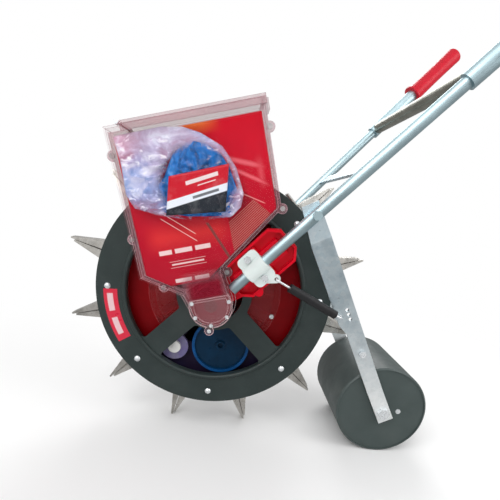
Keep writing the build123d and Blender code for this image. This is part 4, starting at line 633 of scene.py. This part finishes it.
def banded_card():
    """A plain card with a red, a white and a dark band and plain bars."""
    shader = Shader("banded_card")
    x, z = shader.axes()
    slant = shader.sloped(x, z, CARD_SLOPE)
    tone = shader.blend(shader.span(slant, *CARD_RED_FOOT), (0.78, 0.82, 0.90), (0.56, 0.008, 0.022))
    tone = shader.blend(shader.span(slant, *CARD_DARK_TOP, 1.0, 0.0), tone, (0.014, 0.022, 0.030))
    for bar, shade in CARD_BARS:
        inside = shader.patch(x, slant, *bar, BAR_SOFT, BAR_SOFT)
        tone = shader.blend(shader.times(inside, 0.85), tone, shade)
    scuffs = shader.spots(60.0, detail=5.0, start=0.5, full=0.9, share=0.15)
    tone = shader.blend(scuffs, tone, (0.75, 0.75, 0.78))
    shader.set(Base_Color=tone, Roughness=shader.wander(90.0, 0.25, 0.4), Specular_IOR_Level=0.2)
    return shader.bump(shader.noise(45.0, detail=3.0), strength=0.08, distance=0.002).material


def sticker_material():
    """Red vinyl with two plain pale blocks."""
    shader = Shader("rim_vinyl")
    x, z = shader.axes()
    angle = shader.math("ARCTAN2", z, x)
    blocks = 0.0
    for start, end in BLOCK_TURNS_DEG:
        turn = shader.between(angle, math.radians(start), math.radians(end), BLOCK_TURN_SOFT)
        blocks = shader.most(blocks, turn)
    blocks = shader.times(blocks, shader.between(shader.around(0.0, 0.0), *BLOCK_RADII, BLOCK_SOFT))
    red = shader.blend(shader.noise(60.0), (0.62, 0.006, 0.035), (0.72, 0.012, 0.05))
    tone = shader.blend(shader.times(blocks, 0.75), red, (0.86, 0.72, 0.74))
    shader.set(Base_Color=tone, Roughness=shader.wander(70.0, 0.25, 0.4), Coat_Weight=0.3)
    return shader.bump(shader.noise(200.0, detail=3.0), strength=0.05, distance=0.0008).material


TUBE_STRETCH = (0.35, 1.0, 0.35)
SPANGLE = 0.3
PALE_FOOT_TONE = (0.86, 0.87, 0.86)
# Painted reflection colour for the clear edges low down and for the neck's edges.
LINE_PINK = (0.86, 0.62, 0.64)
# Painted reflection: the leaflet's red as the neck's walls mirror it.
NECK_REFLECTED_RED = (0.28, 0.010, 0.028)
MATERIALS = {
    "rim": moulded("rim_cover", (0.019, 0.029, 0.028), (0.035, 0.049, 0.047), rough=0.42, shine=0.35),
    "roller": moulded("roller_paint", (0.038, 0.054, 0.052), (0.062, 0.084, 0.081), rough=0.45),
    "drum": drum_plastic(),
    "meter": gloss_plastic("meter_plastic", (0.12, 0.011, 0.018), (0.18, 0.020, 0.029),
                           rough=0.34, shine=0.15),
    "beak": metal("beak_steel", (0.50, 0.485, 0.45), (0.90, 0.865, 0.81), rough=0.30, spangle=SPANGLE),
    "tube": metal("tube_zinc", (0.42, 0.54, 0.58), (0.56, 0.72, 0.77), rough=0.44, stretch=TUBE_STRETCH),
    "arm": metal("arm_galvanised", (0.58, 0.69, 0.75), (0.75, 0.86, 0.91),
                 rough=0.38, spangle=SPANGLE, pale_foot=PALE_FOOT_TONE),
    "bolt": metal("bolt_zinc", (0.72, 0.75, 0.77), (0.88, 0.91, 0.93), rough=0.26, bare=0.55),
    "screw": metal("screw_zinc", (0.42, 0.40, 0.40), (0.66, 0.63, 0.63), rough=0.24),
    # Painted shade: the upper cross bar's zinc is darker and olive, as the shade it lies in.
    "bar": metal("shaded_bar_zinc", (0.24, 0.24, 0.20), (0.36, 0.36, 0.31), rough=0.36),
    "dark": moulded("dark_steel", (0.028, 0.032, 0.031), (0.050, 0.056, 0.055), rough=0.38),
    "axle": moulded("axle_steel", (0.085, 0.013, 0.016), (0.125, 0.022, 0.026), rough=0.45, shine=0.15),
    "bracket": gloss_plastic("bracket_plastic", (0.56, 0.0004, 0.010), (0.70, 0.001, 0.018),
                             rough=0.30, shine=0.12),
    "clamp": gloss_plastic("clamp_casting", (0.62, 0.70, 0.68), (0.78, 0.84, 0.82), rough=0.38, grain=0.12),
    "grip": rubber("grip_rubber", (0.52, 0.006, 0.020), (0.64, 0.014, 0.034), rough=0.38),
    "clear": clear("clear_shell", (0.62, 0.24, 0.30), (0.34, 0.21, 0.24),
                   face=0.006, side=0.40, line=0.90, low_rim=LINE_PINK, red_reflection=NECK_REFLECTED_RED),
    "back": clear("clear_back", (0.42, 0.04, 0.075), (0.70, 0.50, 0.55), face=0.36, side=0.44, line=0.70),
    "neck": clear("clear_neck", (0.50, 0.14, 0.17), LINE_PINK, face=0.08, side=0.34, line=0.90),
    "lid": clear("clear_lid", (0.62, 0.24, 0.28), (0.26, 0.16, 0.18), face=0.24, side=0.46, line=0.85),
    "cover": clear("clear_cover", (0.40, 0.004, 0.006), (0.60, 0.12, 0.13), face=0.26, side=0.38, line=0.85),
    # Painted highlight: the blue disc's paler outer ring stands in for light on its rim.
    "blue": ringed("blue_plastic", BLUE_DISC_PLACE, BLUE_DISC_HIGHLIGHT_RING,
                   inside=(0.001, 0.022, 0.055), outside=(0.002, 0.060, 0.20), shine=0.15),
    "white": ringed("white_plastic", WHITE_DISC_PLACE, WHITE_DISC_RING,
                    inside=(0.68, 0.68, 0.66), outside=(0.12, 0.10, 0.24), shine=0.4),
    "black": rubber("black_rubber", (0.012, 0.012, 0.013), (0.024, 0.024, 0.026), rough=0.5),
    "bush": gloss_plastic("bush_plastic", (0.62, 0.60, 0.55), (0.76, 0.74, 0.68), rough=0.4),
    "paper": printed_paper(),
    "film": film(),
    "blue_wrap": blue_film(),
    "card": banded_card(),
    "sticker": sticker_material(),
}
SLOT_MATERIALS = {
    "rim_paint": "rim", "drum_red": "drum", "beak_steel": "beak", "zinc": "bolt", "dark_steel": "dark",
    "bracket_red": "bracket", "die_cast": "clamp", "grip_red": "grip", "clear_plastic": "clear",
    "roller_grey": "roller", "paper": "paper", "bag_film": "film", "blue_plastic": "blue",
    "white_plastic": "white", "black_rubber": "black", "bush_plastic": "bush",
}
NODE_MATERIALS = {
    "stay_tubes": "tube", "handle_tubes": "tube", "press_arm_near": "arm", "press_arm_far": "arm",
    "lower_cross_strap": "arm", "upper_cross_bar": "bar", "arm_pivot_bolts": "tube", "axle_shaft": "axle",
    "hopper_lid": "lid", "hopper_back_shell": "back", "hopper_screws": "screw", "meter_cover": "neck",
    "metering_roller": "meter", "seed_spout": "meter", "seed_wiper": "meter", "distributor_cover": "cover",
}


def wear(obj, name):
    """Gives an object one material."""
    obj.data.materials.clear()
    obj.data.materials.append(MATERIALS[name])


def dress_frame():
    """A finish for every CAD node, by its own name or by its slot."""
    for row in frame["record"]["subparts"]:
        name = NODE_MATERIALS.get(row["node"]) or SLOT_MATERIALS[row["material_slot"]]
        wear(frame["nodes"][row["node"]], name)


# Pieces
def face_out(mesh, merge=0.0):
    """Joins corners that lie together, where a distance is given, and turns every face outwards."""
    work = bmesh.new()
    work.from_mesh(mesh)
    if merge:
        bmesh.ops.remove_doubles(work, verts=work.verts, dist=merge)
    bmesh.ops.recalc_face_normals(work, faces=work.faces)
    work.to_mesh(mesh)
    work.free()


def piece(name, vertices, faces, material, body, place, smooth=True):
    """A mesh object with its finish, set in its place and riding on a body."""
    mesh = bpy.data.meshes.new(name)
    mesh.from_pydata([tuple(v) for v in vertices], [], faces)
    mesh.polygons.foreach_set("use_smooth", [smooth] * len(mesh.polygons))
    mesh.update()
    made = bpy.data.objects.new(name, mesh)
    bpy.context.scene.collection.objects.link(made)
    made.matrix_world = place
    wear(made, material)
    face_out(mesh)
    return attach(made, body)


def closed_sheet(rows, columns, point, thickness):
    """A thin closed sheet over a grid: its front, its back and the rim between them."""
    front = [point(i / (rows - 1.0), j / (columns - 1.0)) for i in range(rows) for j in range(columns)]
    vertices = front + [p + Vector((0.0, thickness, 0.0)) for p in front]
    back = rows * columns
    faces = []
    for i in range(rows - 1):
        for j in range(columns - 1):
            a = i * columns + j
            quad = (a, a + 1, a + columns + 1, a + columns)
            faces.append(quad)
            faces.append(tuple(back + k for k in reversed(quad)))
    rim = list(range(columns))
    rim += [i * columns + columns - 1 for i in range(1, rows)]
    rim += [(rows - 1) * columns + j for j in range(columns - 2, -1, -1)]
    rim += [i * columns for i in range(rows - 2, 0, -1)]
    for a, b in zip(rim, rim[1:] + rim[:1]):
        faces.append((b, a, back + a, back + b))
    return vertices, faces


def paper_side(v, foot, throat):
    """The paper's edge at a height: along the wall above the foot, along the slope below it."""
    wall = foot[0]
    if v >= foot[1]:
        return wall
    share = (v - throat[1]) / (foot[1] - throat[1])
    return throat[0] + (wall - throat[0]) * share


def leaflet_sheet():
    """The printed sheet that stands in the seed box behind the bag."""
    low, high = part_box("leaflet")
    middle = (low.y + high.y) / 2.0

    def point(i, j):
        v = PAPER_FOOT + (PAPER_TOP - PAPER_FOOT) * i
        left = paper_side(v, LEFT_FOOT, THROAT_LEFT) + PAPER_INSET
        right = paper_side(v, RIGHT_FOOT, THROAT_RIGHT) - PAPER_INSET
        u = left + (right - left) * j
        wave = PAPER_WAVE * noise.noise(Vector((u * WAVES_ACROSS, WAVE_SLICE, v * WAVES_UP)))
        return Vector((u, middle + wave, v))

    vertices, faces = closed_sheet(*PAPER_GRID, point, PAPER_THICKNESS)
    made = piece("leaflet_sheet", vertices, faces, "paper", "frame", HOPPER_FRAME)
    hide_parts("leaflet")


def ridge(p, sizes):
    """Sharp creases of several sizes at a point, up to one along their tops."""
    total = 0.0
    weight = 0.0
    share = 1.0
    for size in sizes:
        total += share * (1.0 - abs(noise.noise(p / size)) * 2.0)
        weight += share
        share *= CREASE_FALL
    return total / weight


def reach_at(angle, corners):
    """The distance from the middle to a straight-sided outline in one direction."""
    way = Vector((math.cos(angle), math.sin(angle)))
    parallel = 1e-12
    slack = 1e-9
    for start, end in zip(corners, corners[1:] + corners[:1]):
        a = Vector(start)
        side = Vector(end) - a
        bottom = way.x * side.y - way.y * side.x
        if abs(bottom) < parallel:
            continue
        distance = (a.x * side.y - a.y * side.x) / bottom
        along = (a.x * way.y - a.y * way.x) / bottom
        if distance > 0.0 and -slack <= along <= 1.0 + slack:
            return distance
    return 0.0


def crumpled(name, middle, outline, front, back, creases, depth, material):
    """A closed crumpled pouch between two depths, over an outline about a middle."""
    rings = POUCH_RINGS
    spokes = POUCH_SPOKES
    corners = [(u - middle[0], v - middle[1]) for u, v in outline]
    half = (back - front) / 2.0
    centre = (back + front) / 2.0
    vertices = []
    for side in (-1.0, 1.0):
        for i in range(rings + 1 if side < 0.0 else rings):
            share = i / rings
            for k in range(spokes):
                angle = 2.0 * math.pi * k / spokes
                reach = reach_at(angle, corners) * share
                u = middle[0] + reach * math.cos(angle)
                v = middle[1] + reach * math.sin(angle)
                swell = math.sqrt(max(0.0, 1.0 - share ** 3))
                crease = ridge(Vector((u, side, v)), creases)
                y = centre + side * swell * (half - depth * (1.0 - crease))
                vertices.append(Vector((u, min(max(y, front), back), v)))
    faces = []
    second = (rings + 1) * spokes
    for i in range(rings):
        for k in range(spokes):
            n = (k + 1) % spokes
            faces.append((i * spokes + k, (i + 1) * spokes + k, (i + 1) * spokes + n, i * spokes + n))
            outer = second + (i + 1) * spokes if i < rings - 1 else rings * spokes
            faces.append((second + i * spokes + n, outer + n, outer + k, second + i * spokes + k))
    made = piece(name, vertices, faces, material, "frame", HOPPER_FRAME)
    face_out(made.data, MERGE_DISTANCE)
    return made


def spares_bag():
    """The crumpled film bag with its blue inner wrap and a card."""
    low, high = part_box("spares_bag")
    front = low.y + BAG_GAPS[0]
    back = high.y - BAG_GAPS[1]
    bag = crumpled("film_bag", BAG_MIDDLE, BAG_OUTLINE, front, back,
                   BAG_CREASES, BAG_CREASE_DEPTH, "film")
    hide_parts("spares_bag")
    wrap = crumpled("blue_wrap", WRAP_MIDDLE, WRAP_OUTLINE, front + WRAP_GAPS[0], back - WRAP_GAPS[1],
                    WRAP_CREASES, WRAP_CREASE_DEPTH, "blue_wrap")
    card(low.y)


def card(front):
    """The card that lies against the near wall in front of the bag."""
    corners = [Vector((u, 0.0, v)) for u, v in CARD_CORNERS]
    middle = sum(corners, Vector()) / len(corners)

    def point(i, j):
        low = corners[0].lerp(corners[1], j)
        high = corners[3].lerp(corners[2], j)
        p = low.lerp(high, i) - middle
        p.y = CARD_BOW * math.sin(math.pi * j)
        return p

    vertices, faces = closed_sheet(*CARD_GRID, point, CARD_THICKNESS)
    place = HOPPER_FRAME @ Matrix.Translation((middle.x, front, middle.z))
    made = piece("label_card", vertices, faces, "card", "frame", place)


def rim_sticker():
    """The vinyl strip on the near rim."""
    inner, outer = STICKER_RADII
    start, end = STICKER_ANGLES

    def point(i, j):
        radius = inner + (outer - inner) * i
        angle = start + (end - start) * j
        return Vector((radius * math.cos(angle), -STICKER_THICKNESS, radius * math.sin(angle)))

    vertices, faces = closed_sheet(*STICKER_GRID, point, STICKER_THICKNESS)
    place = Matrix.Translation(AXLE + Vector((0.0, DISC_FACE_Y, 0.0)))
    piece("rim_strip", vertices, faces, "sticker", "wheel", place, smooth=False)


def follower(name, node, material):
    """A copy of a node's mesh in the node's place, with its own finish; the node itself is hidden."""
    made = bpy.data.objects.new(name, frame["nodes"][node].data.copy())
    bpy.context.scene.collection.objects.link(made)
    wear(made, material)
    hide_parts(node)
    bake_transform(made)


def spring_links():
    """The links between the clamps' ears and the arms: copies of the rods and the sleeves with their
    finishes. How far along the rod each sleeve's corner lies is worked out but not used.
    """
    low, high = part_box("spring_rods")
    ear = Vector((low.x, 0.0, high.z))
    run = Vector((high.x, 0.0, low.z)) - ear
    follower("link_rods", "spring_rods", "bolt")
    corners = frame["nodes"]["spring_sleeves"].data.vertices
    shares = [(v.co - ear).dot(run) / run.length_squared for v in corners]
    follower("link_sleeves", "spring_sleeves", "black")


# Stage
def camera():
    """The camera at the photograph's place and angle."""
    forward = Vector((
        math.sin(CAMERA_YAW) * math.cos(CAMERA_PITCH),
        math.cos(CAMERA_YAW) * math.cos(CAMERA_PITCH),
        -math.sin(CAMERA_PITCH),
    ))
    level = Vector((math.cos(CAMERA_YAW), -math.sin(CAMERA_YAW), 0.0))
    above = level.cross(forward)
    right = math.cos(CAMERA_ROLL) * level + math.sin(CAMERA_ROLL) * above
    up = -math.sin(CAMERA_ROLL) * level + math.cos(CAMERA_ROLL) * above
    data = bpy.data.cameras.new("camera")
    data.sensor_width = SENSOR_WIDTH
    data.lens = FOCAL_PIXELS / IMAGE_SIDE * SENSOR_WIDTH
    data.shift_x = (IMAGE_SIDE / 2.0 - AXIS_PIXEL[0]) / IMAGE_SIDE
    data.shift_y = (AXIS_PIXEL[1] - IMAGE_SIDE / 2.0) / IMAGE_SIDE
    data.clip_start = CLIP_START
    made = bpy.data.objects.new("camera", data)
    bpy.context.scene.collection.objects.link(made)
    turn = Matrix((right, up, -forward)).transposed()
    made.matrix_world = Matrix.Translation(CAMERA_PLACE) @ turn.to_4x4()
    bpy.context.scene.camera = made


def lamp(name, place, side, power):
    """A soft square lamp that faces the object."""
    data = bpy.data.lights.new(name, "AREA")
    data.size = side
    data.energy = power
    made = bpy.data.objects.new(name, data)
    bpy.context.scene.collection.objects.link(made)
    made.location = place
    made.rotation_euler = (Vector(LAMP_TARGET) - Vector(place)).to_track_quat("-Z", "Y").to_euler()


def world():
    """An even sky: white to the camera, and to shiny faces brightest above and before the object."""
    made = bpy.data.worlds.new("studio")
    bpy.context.scene.world = made
    made.use_nodes = True
    nodes = Nodes(made.node_tree)
    path = nodes.node("ShaderNodeLightPath")
    bright = nodes.dot(nodes.node("ShaderNodeTexCoord").outputs["Generated"], BRIGHT_WAY)
    shine = nodes.span(bright, *BRIGHT_TURN, *SKY_SHINE)
    strength = nodes.choose(path.outputs["Is Glossy Ray"], SKY_LIGHT, shine)
    seen = nodes.most(path.outputs["Is Camera Ray"], path.outputs["Is Transmission Ray"])
    background = nodes.tree.nodes["Background"]
    nodes.feed(background.inputs["Color"], WHITE)
    nodes.feed(background.inputs["Strength"], nodes.choose(seen, strength, 1.0))


def floor():
    """A pale floor that fades to the sky's white away from the object and keeps the shadow near it."""
    corners = [(x * FLOOR_REACH, y * FLOOR_REACH, 0.0) for x, y in ((-1, -1), (1, -1), (1, 1), (-1, 1))]
    mesh = bpy.data.meshes.new("floor")
    mesh.from_pydata(corners, [], [(0, 1, 2, 3)])
    made = bpy.data.objects.new("floor", mesh)
    bpy.context.scene.collection.objects.link(made)
    shader = Shader("floor")
    shader.set(Base_Color=FLOOR_TONE, Roughness=0.9, Specular_IOR_Level=0.1)
    far = shader.node("ShaderNodeVectorMath", operation="LENGTH")
    shader.feed(far.inputs[0], shader.place)
    fade = shader.node("ShaderNodeMapRange", interpolation_type="SMOOTHSTEP")
    shader.feed(fade.inputs["Value"], far.outputs["Value"])
    shader.feed(fade.inputs["From Min"], FLOOR_FADE[0])
    shader.feed(fade.inputs["From Max"], FLOOR_FADE[1])
    path = shader.node("ShaderNodeLightPath")
    glossy = path.outputs["Is Glossy Ray"]
    white = shader.node("ShaderNodeEmission")
    shader.feed(white.inputs["Strength"], shader.choose(glossy, 1.0, FLOOR_SHINE))
    away = shader.times(fade.outputs["Result"], path.outputs["Is Camera Ray"])
    mixed = shader.node("ShaderNodeMixShader")
    shader.feed(mixed.inputs[0], shader.most(away, glossy))
    shader.feed(mixed.inputs[1], shader.surface.outputs[0])
    shader.feed(mixed.inputs[2], white.outputs[0])
    shader.feed(shader.tree.nodes["Material Output"].inputs["Surface"], mixed.outputs[0])
    mesh.materials.append(shader.material)


def studio():
    """Camera, lamps, sky and floor."""
    camera()
    for name, place, side, power in LAMPS:
        lamp(name, place, side, power)
    world()
    floor()
    bpy.context.scene.view_settings.view_transform = "Standard"


dress_frame()
leaflet_sheet()
spares_bag()
rim_sticker()
spring_links()
studio()
